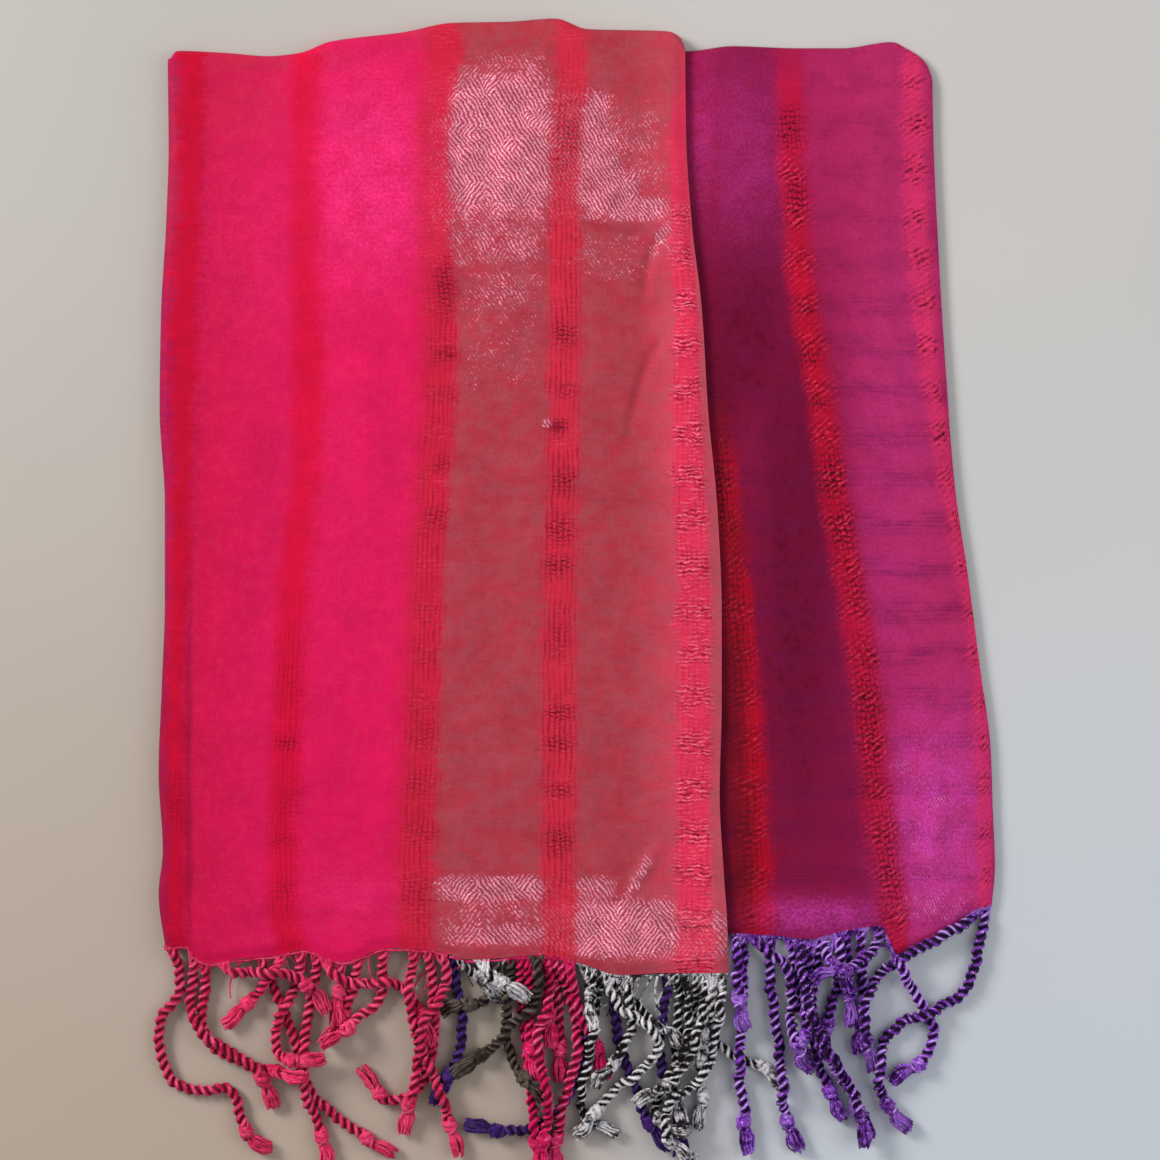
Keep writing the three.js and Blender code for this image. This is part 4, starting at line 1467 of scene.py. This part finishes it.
        # Painted sheen: lighter and darker twill lines, with painted white glints.
        painted_sheen = mix.mix(twill.step(0.15, 0.95), self.sheen_dark, self.sheen_light)
        bright = twill.step(0.7, 1.1) * mottle.step(0.48, 0.64) * self.sparkle
        painted_sheen = mix.mix(bright * 0.6, painted_sheen, self.SPARKLE_COLOUR)
        painted_sheen = mix.scaled(painted_sheen, 0.8 + broad * 0.4)
        colour = mix.mix(shows * 0.85, colour, painted_sheen)
        # Painted shade beside the upper stretch's edge and in a groove, a gap and a fold; darker red dye
        # along the side fold.
        colour = mix.mix(mix.attribute("dark") * 0.85, colour, self.hollow)

        tone = 0.42 + cloudy * 0.4 + mottle * 0.2 + speck * 0.26 + warp_streak * 0.14 + weft_streak * 0.16
        # Painted shade in the creases' troughs, painted light on their ridges and in the light zones, over
        # the cloth's own tone.
        fold = (mix.attribute("fold") * 0.42).math("MAXIMUM", -0.35)
        tone = tone * (1 + fold + mix.attribute("light") * 0.22)
        colour = mix.scaled(colour, tone * (1.03 - lines * (self.rows * 0.14)))
        # The relief is plainer than the colours, because a bump works its height out three times.
        height = raised * ridge * chop * (0.15 + beat * 0.72) + speck * 0.5 + mottle * 0.3
        return mix.finish(colour, height, CLOTH)


@dataclass(frozen=True)
class LayerFinish:
    """The cut and folded edges of the hidden layers."""

    name: str
    stripes: tuple[tuple[float, Colour], ...]
    low: float = -205.0
    high: float = 205.0

    def mixed(self) -> bpy.types.Material:
        """The finish as a material."""
        mix = Recipe(self.name)
        place = mix.node("ShaderNodeTexCoord", {}, {}, "Object")
        x, y, z = mix.parts(place)
        span = self.high - self.low
        stops = [((at - self.low) / span, colour) for at, colour in self.stripes]
        share = (x * (1 / MM) - MIDDLE_X - self.low) * (1 / span)
        colour = mix.node("ShaderNodeValToRGB", {"stops": stops}, {"Fac": share})
        weave = mix.noise(mix.vector(x * 900, y * 900, z * 2500), 1.0, 3.0, 0.6)
        colour = mix.scaled(colour, 0.7 + weave * 0.5)
        return mix.finish(colour, weave, CLOTH_EDGES)


class Ply(NamedTuple):
    """A colourway of yarn: its two plies and the colour of its painted glints."""

    dark: Colour
    light: Colour
    glint: Colour


@dataclass(frozen=True)
class YarnFinish:
    """Twisted yarn with painted glints on its fibres and the plies' crests, and painted shade in its
    grooves.
    """

    name: str
    plies: tuple[Ply, ...]
    glints: float = 0.5
    by_ply: float = 0.7            # how much the two plies differ
    by_crest: float = 0.5          # painted light on a ply where it turns outwards
    by_chance: float = 2.0
    by_thread: float = 0.3         # how much one loose end differs from the next

    def mixed(self) -> bpy.types.Material:
        """The finish as a material."""
        mix = Recipe(self.name)
        tone, ply, crest = mix.attribute("tone"), mix.attribute("ply"), mix.attribute("crest")
        place = mix.node("ShaderNodeTexCoord", {}, {}, "Object")
        mottle = mix.noise(place, 380.0, 2.0, 0.6)
        fibre = mix.noise(place, 1300.0, 2.0, 0.6)
        patch = mix.noise(place, 90.0, 2.0)
        own = (tone * 37.0).math("FRACT") - 0.5
        share = (ply * self.by_ply + (crest - 0.7) * self.by_crest * 2.5 + (mottle - 0.5) * self.by_chance
                 + (patch - 0.5) * 1.8 + own * self.by_thread + 0.2).kept()
        dark, light, glint = self.plies[0]
        for number, other in enumerate(self.plies[1:], start=1):
            chosen = tone.above(number)
            dark = mix.mix(chosen, dark, other.dark)
            light = mix.mix(chosen, light, other.light)
            glint = mix.mix(chosen, glint, other.glint)
        colour = mix.mix(share, dark, light)
        # Painted glints on the fibres and on the plies' crests.
        spark = fibre.step(0.52, 0.66) * mottle.step(0.46, 0.62) * crest.step(0.5, 0.95) * self.glints
        colour = mix.mix(spark, colour, glint)
        colour = mix.mix(crest.step(0.72, 1.0) * patch.step(0.48, 0.6) * (self.glints * 0.7), colour, glint)
        # Painted shade in the grooves between the plies, with each strand's own tone.
        groove = 0.4 + crest.step(0.15, 0.85) * 0.68
        shade = (tone.math("FRACT") * 0.25 + 0.82 + (fibre - 0.5) * 0.6) * groove
        colour = mix.scaled(colour, shade)
        return mix.finish(colour, fibre + mottle * 0.6, YARN)


@dataclass(frozen=True)
class FloorFinish:
    """A pale table top, with painted shade and light: darker and warmer towards the lower left, cooler
    towards the right.
    """

    name: str
    low_warm_shade: Colour
    low_cool: Colour
    high_warm: Colour
    high_cool: Colour

    def mixed(self) -> bpy.types.Material:
        """The finish as a material."""
        mix = Recipe(self.name)
        place = mix.node("ShaderNodeTexCoord", {}, {}, "Object")
        x, y, _ = mix.parts(place)
        # Painted shade and tints of light, darkest and warmest low on the left.
        up = y.step(-0.3, 0.24)
        low = mix.mix(x.step(-0.06, 0.13), self.low_warm_shade, self.low_cool)
        high = mix.mix(x.step(-0.2, 0.16), self.high_warm, self.high_cool)
        cloud = mix.noise(place, 5.0, 2.0)
        colour = mix.scaled(mix.mix(up, low, high), 0.97 + cloud * 0.06)
        return mix.finish(colour, cloud, TABLE_TOP)


# ---------------------------------------------------------------- the studio

@dataclass
class Studio:
    """The table, the soft lights and the camera overhead."""

    view_x: float = 2.78           # what the picture's middle looks at
    view_y: float = 8.2
    view_width: float = 556.8      # how much of the table the picture takes in
    view_plane: float = 4.0        # at this height over it
    camera_z: float = 1250.0
    floor_reach: float = 4.0       # in metres, as the floor's height is
    floor_z: float = -0.0003

    def camera(self) -> None:
        """A camera that looks straight down."""
        data = bpy.data.cameras.new("overhead")
        data.sensor_width = 36.0
        data.lens = data.sensor_width * (self.camera_z - self.view_plane) / self.view_width
        data.clip_start, data.clip_end = 0.01, 20.0
        camera = linked("overhead", data)
        camera.location = (self.view_x * MM, self.view_y * MM, self.camera_z * MM)
        bpy.context.scene.camera = camera

    def floor(self, material: bpy.types.Material) -> None:
        """The table top, a little below the cloth."""
        mesh = bpy.data.meshes.new("table")
        reach, z = self.floor_reach, self.floor_z
        corners = [(-reach, -reach, z), (reach, -reach, z), (reach, reach, z), (-reach, reach, z)]
        mesh.from_pydata(corners, [], [(0, 1, 2, 3)])
        mesh.materials.append(material)
        linked("table", mesh)

    def lamp(self, name: str, place: tuple[float, float, float], size: float, power: float,
             tint: tuple[float, float, float]) -> None:
        """A square soft light that faces the middle of the shawl.

        Args:
            name: its name.
            place: where it hangs, in metres.
            size: its side, in metres.
            power: its strength, in watts.
            tint: its colour.
        """
        data = bpy.data.lights.new(name, "AREA")
        data.size = size
        data.energy = power
        data.color = tint
        lamp = linked(name, data)
        lamp.location = place
        lamp.rotation_mode = "QUATERNION"
        lamp.rotation_quaternion = (-Vector(place)).to_track_quat("-Z", "Y")

    def lights(self) -> None:
        """A key light from the upper left, a weak one from the right, and pale air."""
        self.lamp("key", (-1.25, 0.75, 0.95), 0.6, 27.0, (1.0, 0.97, 0.94))
        self.lamp("fill", (1.3, 0.1, 1.1), 1.4, 12.0, (0.93, 0.96, 1.0))
        world = bpy.data.worlds.new("air")
        world.use_nodes = True
        air = world.node_tree.nodes["Background"]
        air.inputs["Color"].default_value = (0.93, 0.94, 0.96, 1.0)
        air.inputs["Strength"].default_value = 0.42
        bpy.context.scene.world = world
        bpy.context.scene.view_settings.view_transform = "Standard"


# ---------------------------------------------------------------- what this shawl is made of

UPPER_GUIDES = (
    Guide(8.4, ((240, -182.5), (96, -187.5), (0, -190.5), (-48, -192), (-144, -191.5))),
    Guide(67.2, ((240, -130), (158, -129.5), (96, -128), (48, -131), (0, -136), (-24, -137),
                 (-72, -139), (-120, -141), (-154, -140), (-163, -137))),
    Guide(129.6, ((259, -63), (216, -69.5), (168, -67.5), (130, -64), (96, -65.5), (48, -68.5),
                  (0, -71.5), (-24, -72), (-72, -74), (-120, -76.5), (-154, -77.5))),
    Guide(191.0, ((274, -1), (240, -3), (216, -4.5), (192, -5.5), (120, -5.5), (72, -6.5),
                  (24, -7.5), (-19, -8.5), (-120, -8.5), (-154, -8))),
    Guide(252.2, ((250, 56), (216, 52), (168, 53), (134, 55), (120, 54.5), (72, 54), (24, 56),
                  (-48, 57), (-96, 56.5), (-144, 56))),
)
LOWER_GUIDES = (
    Guide(20.0, ((264, 52), (144, 62), (72, 69), (48, 71.5), (0, 77.5), (-60, 82.5), (-144, 86))),
    Guide(81.0, ((259, 101), (192, 104), (144, 108.5), (96, 117), (48, 124), (0, 132.5),
                 (-48, 140), (-96, 145.5), (-144, 154))),
    Guide(142.0, ((240, 161.5), (192, 162.5), (144, 166), (96, 172), (48, 181), (0, 190.5),
                  (-48, 195.5), (-96, 197), (-144, 197.5))),
)
UPPER_CREASES = (
    Crease(-0.7, 1.6, ((43.9, 178.6), (35.3, 168.5), (31.9, 157.9), (31.0, 142.1))),
    Crease(0.5, 2.6, ((47.5, 177), (39.5, 166), (36, 155), (35, 141))),
    Crease(-0.55, 1.7, ((42.5, 128.6), (34.3, 118.1), (29.0, 102.2), (24.7, 85.9), (21.8, 73.4))),
    Crease(0.4, 3.0, ((46, 125), (38.5, 113), (33, 99), (29, 83))),
    Crease(0.6, 2.2, ((39.6, -114.7), (31, -127), (23.8, -138.2))),
    Crease(-0.4, 2.6, ((44, -118), (36, -130), (29, -140))),
    Crease(-0.45, 2.4, ((2, 180.5), (20, 177), (38, 174.5))),
    Crease(0.35, 3.0, ((-4, 186), (18, 183), (40, 181))),
    Crease(-0.55, 1.3, ((-184.5, 8), (-185.2, -60), (-184.8, -120), (-184.5, -168))),
    Crease(0.35, 4.0, ((-191, 20), (-192, -60), (-191.5, -160))),
    Crease(0.5, 9.0, ((-120, 255), (-112, 190), (-104, 110), (-103, 40))),
    Crease(-0.35, 7.0, ((-92, 150), (-88, 60), (-92, -40))),
    Crease(0.4, 10.0, ((-160, 120), (-164, 20), (-160, -90))),
    Crease(0.45, 8.0, ((-44, 250), (-40, 180), (-42, 110))),
    Crease(-0.4, 8.0, ((12, 80), (16, 0), (14, -80))),
    Crease(0.4, 7.0, ((34, 20), (36, -50), (38, -110))),
    Crease(-0.35, 4.0, ((-170, -150), (-120, -153), (-75, -151))),
    Crease(0.35, 5.0, ((-60, -145), (-10, -150), (50, -147))),
)
LOWER_CREASES = (
    Crease(-0.6, 5.0, ((96, 120), (100, 30), (106, -60), (112, -130))),
    Crease(0.45, 6.0, ((76, 200), (84, 120), (92, 40))),
    Crease(0.5, 5.0, ((140, 60), (152, -10), (164, -80), (170, -140))),
    Crease(-0.35, 4.0, ((150, 230), (152, 160), (156, 90))),
    Crease(0.4, 1.2, ((79.5, -20), (82, -60), (84.5, -120))),
    Crease(-0.35, 2.5, ((172, -60), (178, -100), (182, -140))),
    Crease(0.3, 3.0, ((110, 236), (128, 240), (150, 236))),
)
UPPER_SWELLS = table(Swell,
    (0.22, 88, 8, 0.1), (0.14, 53, -12, 0.45), (0.16, 121, 96, 0.7), (0.09, 34, 74, 0.2))
LOWER_SWELLS = table(Swell,
    (0.2, 64, 14, 0.3), (0.12, 41, -6, 0.8), (0.14, 97, 84, 0.15))
UPPER_ZONES = {
    # sheen: painted highlights over the twill
    "sheen": table(Zone,
        (-36.5, 218, 28, 38, 0.96), (-33, 250, 20, 14, 0.5), (-37, 171, 27, 13, 0.52),
        (-36, 148, 22, 12, 0.42), (7, 226, 12, 20, 0.72), (9, 212, 15, 20, 0.74),
        (14, 197, 20, 12, 0.74), (24, 187, 24, 7, 0.72), (22, 214, 24, 26, 0.4),
        (-39, -138, 29, 7, 0.86), (-39, -151, 29, 10, 0.44), (-39, -160, 29, 6, 0.66),
        (8, -138, 12, 7, 0.7), (23, -157, 28, 15, 1.0), (54, -161, 24, 13, 0.62),
        (25, -140, 3, 4, 0.62), (28, -135, 3, 4, 0.66), (31, -130, 3, 4, 0.7), (34, -125, 3, 4, 0.6),
        (-8, 214, 13, 36, 0.6), (-10, -156, 14, 14, 0.56), (-64, 205, 8, 42, 0.46),
        (43, 178, 3, 4, 0.66), (40, 173, 3, 4, 0.7), (37, 167, 3, 4, 0.6), (47, 172, 6, 8, 0.4),
        (-37, 126, 24, 34, 0.28), (14, 164, 24, 14, 0.34), (-14, 84.5, 2.6, 1.6, 1.0)),
    # light: painted light right of a crease, in the sheen and along the hem
    "light": table(Zone,
        (46, 112, 11, 66, 0.75), (48, -60, 10, 60, 0.35), (-38, 210, 30, 44, 0.2),
        (22, -157, 28, 15, 0.4), (58, -128, 10, 44, 0.5), (-30, -167, 50, 4, 0.8)),
    # dark: painted shade in a groove, a gap and a fold, and darker red dye at the side fold
    "dark": table(Zone,
        (-185.4, -50, 1.3, 76, 0.3), (-185.2, -128, 1.3, 40, 0.36), (-62, 152, 9, 7, 0.3),
        (-198, -90, 4, 100, 0.4), (-10.5, 82.5, 3.4, 1.6, 0.9), (14, -143, 9, 2.6, 0.24),
        (30, -146, 8, 2.6, 0.2)),
    # the lighter pink zones: painted highlight
    "tint_and_highlight": table(Zone,
        (-97, 202, 30, 52, 1.0), (-156, 172, 22, 56, 0.2), (-106, -142, 26, 18, 0.35),
        (-99, 50, 36, 100, 0.12)),
    # shade: painted shade along the top fold and left of a crease, and darker, greyer dye in places
    "shade": table(Zone,
        (-36, 90, 24, 22, 0.5), (24, 120, 20, 40, 0.4), (-36, 10, 26, 50, 0.3), (-30, 272, 62, 8, 0.7),
        (20, 60, 16, 60, 0.35), (-36, 266, 26, 9, 0.5), (-150, 258, 44, 7, 0.4),
        (-192, 200, 6, 60, 0.3), (52, 235, 9, 36, 0.5), (-158, 238, 24, 20, 0.24)),
    "breaks": table(Zone,
        (-62, 150, 6, 14, 1.0), (-62, 118, 6, 4, 0.8), (-62, 98, 6, 4, 0.6), (-64, 64, 6, 4, 0.6),
        (-66, 38, 8, 7, 0.6), (-5, 220, 9, 20, 0.8), (-5, 127, 7, 6, 1.0), (-5, 100, 6, 4, 0.7),
        (-8, 83, 4, 4, 1.0), (-6, 57, 8, 6, 0.8), (-8, 34, 8, 8, 0.9), (-9, 17, 8, 5, 1.0),
        (-8, -54, 9, 4, 1.0), (-9, -69, 8, 4, 0.9), (-8, -91, 8, 4, 0.9), (-8, -115, 8, 6, 0.9),
        (-8, -18, 6, 8, 0.5), (-72, -26, 8, 8, 0.3), (-72, -64, 10, 9, 0.45), (-73, -88, 11, 7, 0.35),
        (-74, -112, 11, 6, 0.4), (-75, -140, 12, 8, 0.6), (-138, -68, 8, 4, 0.7),
        (-138, -98, 8, 9, 0.4), (-140, -115, 9, 4, 0.55), (-140, -138, 7, 6, 0.5),
        (-192, -96, 7, 14, 0.35), (-137, -40, 8, 10, 0.3)),
}
LOWER_ZONES = {
    # light: painted light at the top
    "light": table(Zone,
        (86, 214, 26, 48, 0.5), (60, 222, 10, 46, 0.5)),
    # dark: painted shade beside the upper stretch's edge
    "dark": table(Zone,
        (58, 150, 4, 60, 0.25), (66, 70, 9, 44, 0.5), (72, 10, 9, 50, 0.55), (76, -60, 8, 60, 0.8),
        (79, -125, 8, 50, 0.8)),
    # sheen: painted lilac highlights over the twill
    "sheen": table(Zone,
        (156, -80, 7, 4, 0.42), (166, -88, 7, 4, 0.44), (175, -96, 7, 4, 0.42),
        (170, -147, 26, 8, 0.46), (172, -118, 20, 26, 0.3)),
    # the lilac zones: painted highlight, with a lighter magenta dye tint near the top
    "tint_and_highlight": table(Zone,
        (172, -108, 24, 56, 0.9), (84, 214, 24, 46, 0.24), (60, 222, 9, 44, 0.28),
        (116, -152, 34, 9, 0.75), (150, 40, 20, 120, 0.2)),
    # shade: darker plum dye between the bands, and painted shade beside the upper stretch's edge
    "shade": table(Zone,
        (104, 10, 26, 150, 0.75), (78, 130, 24, 60, 0.85), (66, -60, 10, 130, 0.8)),
    "breaks": table(Zone,
        (102, 226, 9, 11, 1.0), (106, 194, 7, 14, 0.9), (110, 140, 7, 4, 0.8), (110, 116, 8, 5, 1.0),
        (115, 94, 7, 4, 0.9), (123, 60, 9, 14, 1.0), (130, 34, 11, 13, 1.0), (136, 6, 9, 8, 0.9),
        (140, -60, 9, 44, 0.9), (148, -130, 10, 34, 0.8), (60, 190, 5, 24, 0.6), (70, 60, 6, 40, 0.9),
        (76, -20, 7, 60, 0.7), (82, -110, 8, 40, 0.6)),
}

PINK, LOW_PINK = dye(203, 17, 80), dye(192, 14, 67)
ROSE, WARM_ROSE = dye(168, 50, 66), dye(207, 70, 99)
UPPER_FINISH = StripedFinish(
    name="pink_cloth",
    grounds=(
        # The darker grounds below 4 mm paint shade on the margin round the side fold.
        (-20, dye(130, 18, 60)), (-3, dye(138, 16, 66)), (4, dye(166, 14, 72)), (20, LOW_PINK), (60, PINK),
        (84, dye(207, 16, 80)), (114, dye(207, 16, 80)), (124, dye(196, 22, 64)), (140, ROSE), (224, ROSE),
        (250, dye(204, 64, 88)), (263, dye(190, 72, 90)), (280, WARM_ROSE),
    ),
    bands=(
        Band(8.8, 4.6, dye(181, 4, 44), 0.35, 0.0, -60, 2.8),
        Band(67.2, 7.0, dye(199, 8, 53), 0.5, 0.0, 0, 5.0),
        Band(129.6, 7.0, dye(193, 27, 57), 0.75, 0.12, 150, 3.4),
        Band(191.0, 7.6, dye(194, 38, 62), 0.9, 0.1, 260, 3.0),
        Band(252.2, 8.0, dye(212, 47, 81), 0.45, 1.0, 200, 2.6, 190, 252),
    ),
    tint_and_highlight=dye(228, 42, 116),
    shade=dye(170, 44, 58),
    blotch=dye(150, 84, 92),
    blotches=0.36,
    blotch_from=124.0,
    rows=0.15,
    pucker_light=dye(255, 140, 160),
    sheen_light=dye(230, 149, 170),
    sheen_dark=dye(156, 52, 74),
    dark_weave_and_shade=dye(104, 4, 28),
    hollow=dye(120, 6, 34),
)
LOWER_FINISH = StripedFinish(
    name="purple_cloth",
    grounds=(
        # The dark maroon grounds below 20 mm paint shade on the strip beside the upper stretch's edge.
        (-20, dye(90, 12, 26)), (8, dye(116, 12, 40)), (28, dye(144, 14, 56)), (38, dye(140, 20, 66)),
        (70, dye(128, 14, 59)), (92, dye(166, 31, 84)), (120, dye(174, 38, 92)), (150, dye(171, 38, 96)),
        (154, dye(166, 26, 86)), (280, dye(166, 26, 86)),
    ),
    bands=(
        Band(20.4, 6.0, dye(182, 4, 35), 0.6, 0.7, 100, 4.5, 120, 76),
        Band(81.0, 7.0, dye(176, 8, 43), 0.2, 1.0, 200, 5.5, 214, 258),
        Band(142.0, 6.0, dye(198, 42, 94), 0.2, 1.0, 200, 3.0),
    ),
    tint_and_highlight=dye(202, 60, 160),
    shade=dye(90, 2, 34),
    blotch=dye(112, 14, 70),
    blotches=0.6,
    blotch_from=-40.0,
    rows=0.75,
    pucker_light=dye(244, 66, 92),
    sheen_light=dye(222, 112, 176),
    sheen_dark=dye(136, 30, 92),
    dark_weave_and_shade=dye(70, 2, 24),
    hollow=dye(82, 8, 22),
    pucker_pitch=3.0,
    pucker_lean=-0.6,
    sparkle=0.3,
    glinting=0.3,
)
LAYER_FINISH = LayerFinish(
    name="hidden_cloth",
    stripes=(
        (-205, dye(150, 30, 60)), (-186, dye(170, 16, 46)), (-176, dye(180, 24, 70)),
        (-80, dye(190, 30, 76)), (-66, dye(150, 50, 66)), (60, dye(140, 52, 66)),
        (72, dye(120, 24, 50)), (205, dye(130, 32, 84)),
    ),
)
MAGENTA = Ply(dye(176, 6, 66), dye(232, 24, 108), dye(255, 160, 200))
RASPBERRY = Ply(dye(184, 22, 66), dye(238, 58, 112), dye(255, 158, 190))
IRON = Ply(dye(20, 17, 20), dye(206, 202, 206), dye(255, 255, 255))
UMBER = Ply(dye(44, 36, 32), dye(92, 80, 70), dye(126, 116, 106))
VIOLET = Ply(dye(42, 6, 70), dye(146, 64, 204), dye(228, 198, 254))
PLUM = Ply(dye(34, 12, 62), dye(66, 28, 112), dye(124, 96, 176))

PINK_YARN = YarnFinish("pink_yarn", (RASPBERRY,), 0.3, 0.45, 0.5, 2.2)
MIXED_YARN = YarnFinish("mixed_yarn", (MAGENTA, IRON, UMBER), 0.5, 0.4, 0.6, 2.4, 0.4)
GREY_YARN = YarnFinish("grey_yarn", (IRON,), 0.8, 0.15, 0.8, 4.4, 1.1)
PURPLE_YARN = YarnFinish("purple_yarn", (VIOLET,), 0.9, 0.3, 0.7, 3.0, 0.6)
UNDER_YARN = YarnFinish("under_yarn", (PLUM,), 0.35)

# Rows run from the strands that lie lowest to those that lie on top.
UNDER_STRANDS = (
    Strand(7, (-4, -4, -6, -13, -26, -46, -80, -102, -96)),
    Strand(18, (-3, 4, 11, 24, 15, 34, 46)),
    Strand(-60, (6, 14, 4, -14, -32, -18)),
    Strand(44, (-2, -12, -6, 14, 24, 8, -12)),
)
MIDDLE_STRANDS = (
    Strand(-27, (-3, 2, 8, 8, 4, 6, 9, 6)),
    Strand(-24, (10, 4, -4, 4, 10)),
    Strand(-38, (0, -22, -105, -30), Way.THIRD),
    Strand(-56, (38, 58, 28), Way.SECOND),
    Strand(-31, (-5, -6, -5, 18, 50, 38), Way.THIRD),
    Strand(-10, (0, 4, 5, -3, 1)),
    Strand(-22, (17, 22, 10, -8)),
    Strand(-19, (8, -3, -58, -32, -62, -48), Way.THIRD),
    Strand(-46, (32, 68, 38), Way.SECOND),
    Strand(-7, (2, 18, 13, -8, -21, -10, -8, -4)),
    Strand(-3, (4, 12, 28, 20, 10)),
    Strand(-14, (6, 2, -28, 12, 13, -3, -15, -5)),
)
PINK_STRANDS = (
    Strand(-151, (20, 24, 22, 14, 16, 46, 55, 58, 58)),
    Strand(-104, (-15, -14, -24, -50)),
    Strand(-124, (-8, -12, -8, -3, 2, 26, 16, 8)),
    Strand(-113, (-6, -5, 2)),
    Strand(-178, (6, -14, 10, 60, 70, 84, 80)),
    Strand(-141, (-28, -38, -42, -52)),
    Strand(-71, (7, 6, 3, -9, -20, -62, -146, -147)),
    Strand(-92, (-18, 8, -52, -54, -50)),
    Strand(-183, (-8, -8, 24, 61, 61, 25, 8)),
    Strand(-194, (24, 4, -46, 4, 16, 70, 106, 6, 30, 95)),
    Strand(-132, (-2, -18, -32, 2, 95, 100)),
    Strand(-121, (20, 68, 104, 45, 20, 28)),
    Strand(-170, (55, 97, 80, 46, 26)),
    Strand(-77.5, (-12, -8, 16, 6, -11, -13, -8)),
    Strand(-65.5, (38, -15, -44, 8, 28, 14, 18, 12)),
)
GREY_STRANDS = (
    Strand(11, (-4, -6, -9, -12, -12, 58, 84)),
    Strand(48, (6, 2, -4, -8, 12, 30)),
    Strand(25, (-12, 42, 56, 48)),
    Strand(57, (-3, -2, 8, 8, -3, -14)),
    Strand(59.5, (22, -10, 4, -14)),
    Strand(52.5, (6, 4, -10, -34, -30, 40, 120)),
    Strand(62, (-2, -8, -16, -34, -58, -60)),
    Strand(3.5, (40, -12, 26)),
    Strand(21, (30, 10, -20, -44, -30)),
    Strand(65, (0, -4, 20, 74, 58, 22)),
    Strand(15, (-4, 44, 66, -10, -60, -46, -36, -50)),
    Strand(69.5, (6, -10, -9, -22, -68, -15, 42, 60)),
)
PURPLE_STRANDS = (
    Strand(79.5, (4, 0, -3, -2, -4, 12, 0, 16)),
    Strand(93, (-4, 2, 8, 8, 6, 0, 22, 25)),
    Strand(117, (-6, -10, -4, 6, 18, 26, 20)),
    Strand(137, (-4, 4, 2, -12, 0)),
    Strand(129.5, (3, 4, 2, 6)),
    Strand(126, (6, -4, -16, -14, 4)),
    Strand(103, (6, 8, 16, 28, 33, 32, 22, 8)),
    Strand(113, (-16, 0, -5, -6, 0)),
    Strand(107, (4, 6, 14, 27, 32, 29, 14, -4)),
    Strand(76, (4, 2, 6, 18)),
    Strand(84, (50, 54, 4, -2, 22, 44)),
    Strand(121, (-35, 60, -10)),
    Strand(146, (-4, -52, -86, -50)),
    Strand(192, (-52, -62, -61, -58, -34, -4, 14, 20)),
    Strand(153, (25, 28, 35, -8, -60, -48)),
    Strand(196.5, (-6, -14, -12, -52, -74, -60, -14, 0, 40, 42)),
)


def build_fringes(upper: Outline, lower: Outline) -> dict[str, bpy.types.Object]:
    """Lays every fringe, from the strands that lie lowest up.

    Args:
        upper: the outline of the stretch on top.
        lower: the outline of the one beneath.

    Returns:
        The fringes' pieces by name.
    """
    upper_hem = Hem(upper.hem, -198, 73, UPPER_TOP_Z - EDGE_DROOP - WALL / 2)
    lower_hem = Hem(lower.hem, 75, 199, LOWER_TOP_Z - EDGE_DROOP - WALL / 2)
    under_hem = Hem(upper.hem, -62, 46, 2.9)
    fringes = (
        (Fringe("under_strands", "under_fringe", "under_yarn", under_hem, UNDER_STRANDS, -62, 46, 11,
                radius=2.8, clears=False, wisps=0), UNDER_YARN),
        (Fringe("middle_strands", "middle_fringe", "mixed_yarn", upper_hem, MIDDLE_STRANDS, -61, -1.2, 12),
         MIXED_YARN),
        (Fringe("pink_strands", "pink_fringe", "pink_yarn", upper_hem, PINK_STRANDS, -197.5, -61.8, 13),
         PINK_YARN),
        (Fringe("grey_strands", "grey_fringe", "grey_yarn", upper_hem, GREY_STRANDS, -0.4, 72.5, 14,
                radius=2.5, pitch=8.4, kink=2.0, wisps=22), GREY_YARN),
        (Fringe("purple_strands", "purple_fringe", "purple_yarn", lower_hem, PURPLE_STRANDS, 75, 199, 15,
                radius=2.85, pitch=8.2, kink=1.5, wisps=0), PURPLE_YARN),
    )
    tree, pile = YarnTree(), Pile((upper_hem, lower_hem))
    made = {}
    for fringe, finish in fringes:
        made[fringe.name] = fringe.build(tree, pile, finish.mixed())
        LOG.info("%s: %d strands, %d faces", fringe.name, len(fringe.strands),
                 len(made[fringe.name].data.polygons))
    return made


def main() -> None:
    """Builds the shawl and its studio, and logs how many faces each piece has."""
    logging.basicConfig(level=logging.INFO, format="%(name)s: %(message)s")
    studio = Studio()
    studio.camera()
    studio.floor(FloorFinish("table_top", dye(177, 161, 147), dye(198, 204, 211), dye(177, 173, 168),
                             dye(196, 193, 189)).mixed())
    studio.lights()
    upper, lower = upper_outline(), lower_outline(upper_outline())
    hidden = HiddenLayers(upper, lower).build(LAYER_FINISH.mixed())
    top = FoldedCloth(
        "upper_cloth", "upper_fold", "pink_cloth", upper, UPPER_TOP_Z, True,
        UPPER_GUIDES, UPPER_CREASES, UPPER_SWELLS, UPPER_ZONES,
    ).build(UPPER_FINISH.mixed())
    beneath = FoldedCloth(
        "lower_cloth", "lower_fold", "purple_cloth", lower, LOWER_TOP_Z, False,
        LOWER_GUIDES, LOWER_CREASES, LOWER_SWELLS, LOWER_ZONES, last_warp=152.0,
    ).build(LOWER_FINISH.mixed())
    for piece in (hidden, top, beneath):
        LOG.info("%s: %d faces", piece.name, len(piece.data.polygons))
    strands = build_fringes(upper, lower)


if __name__ == "__main__":
    main()
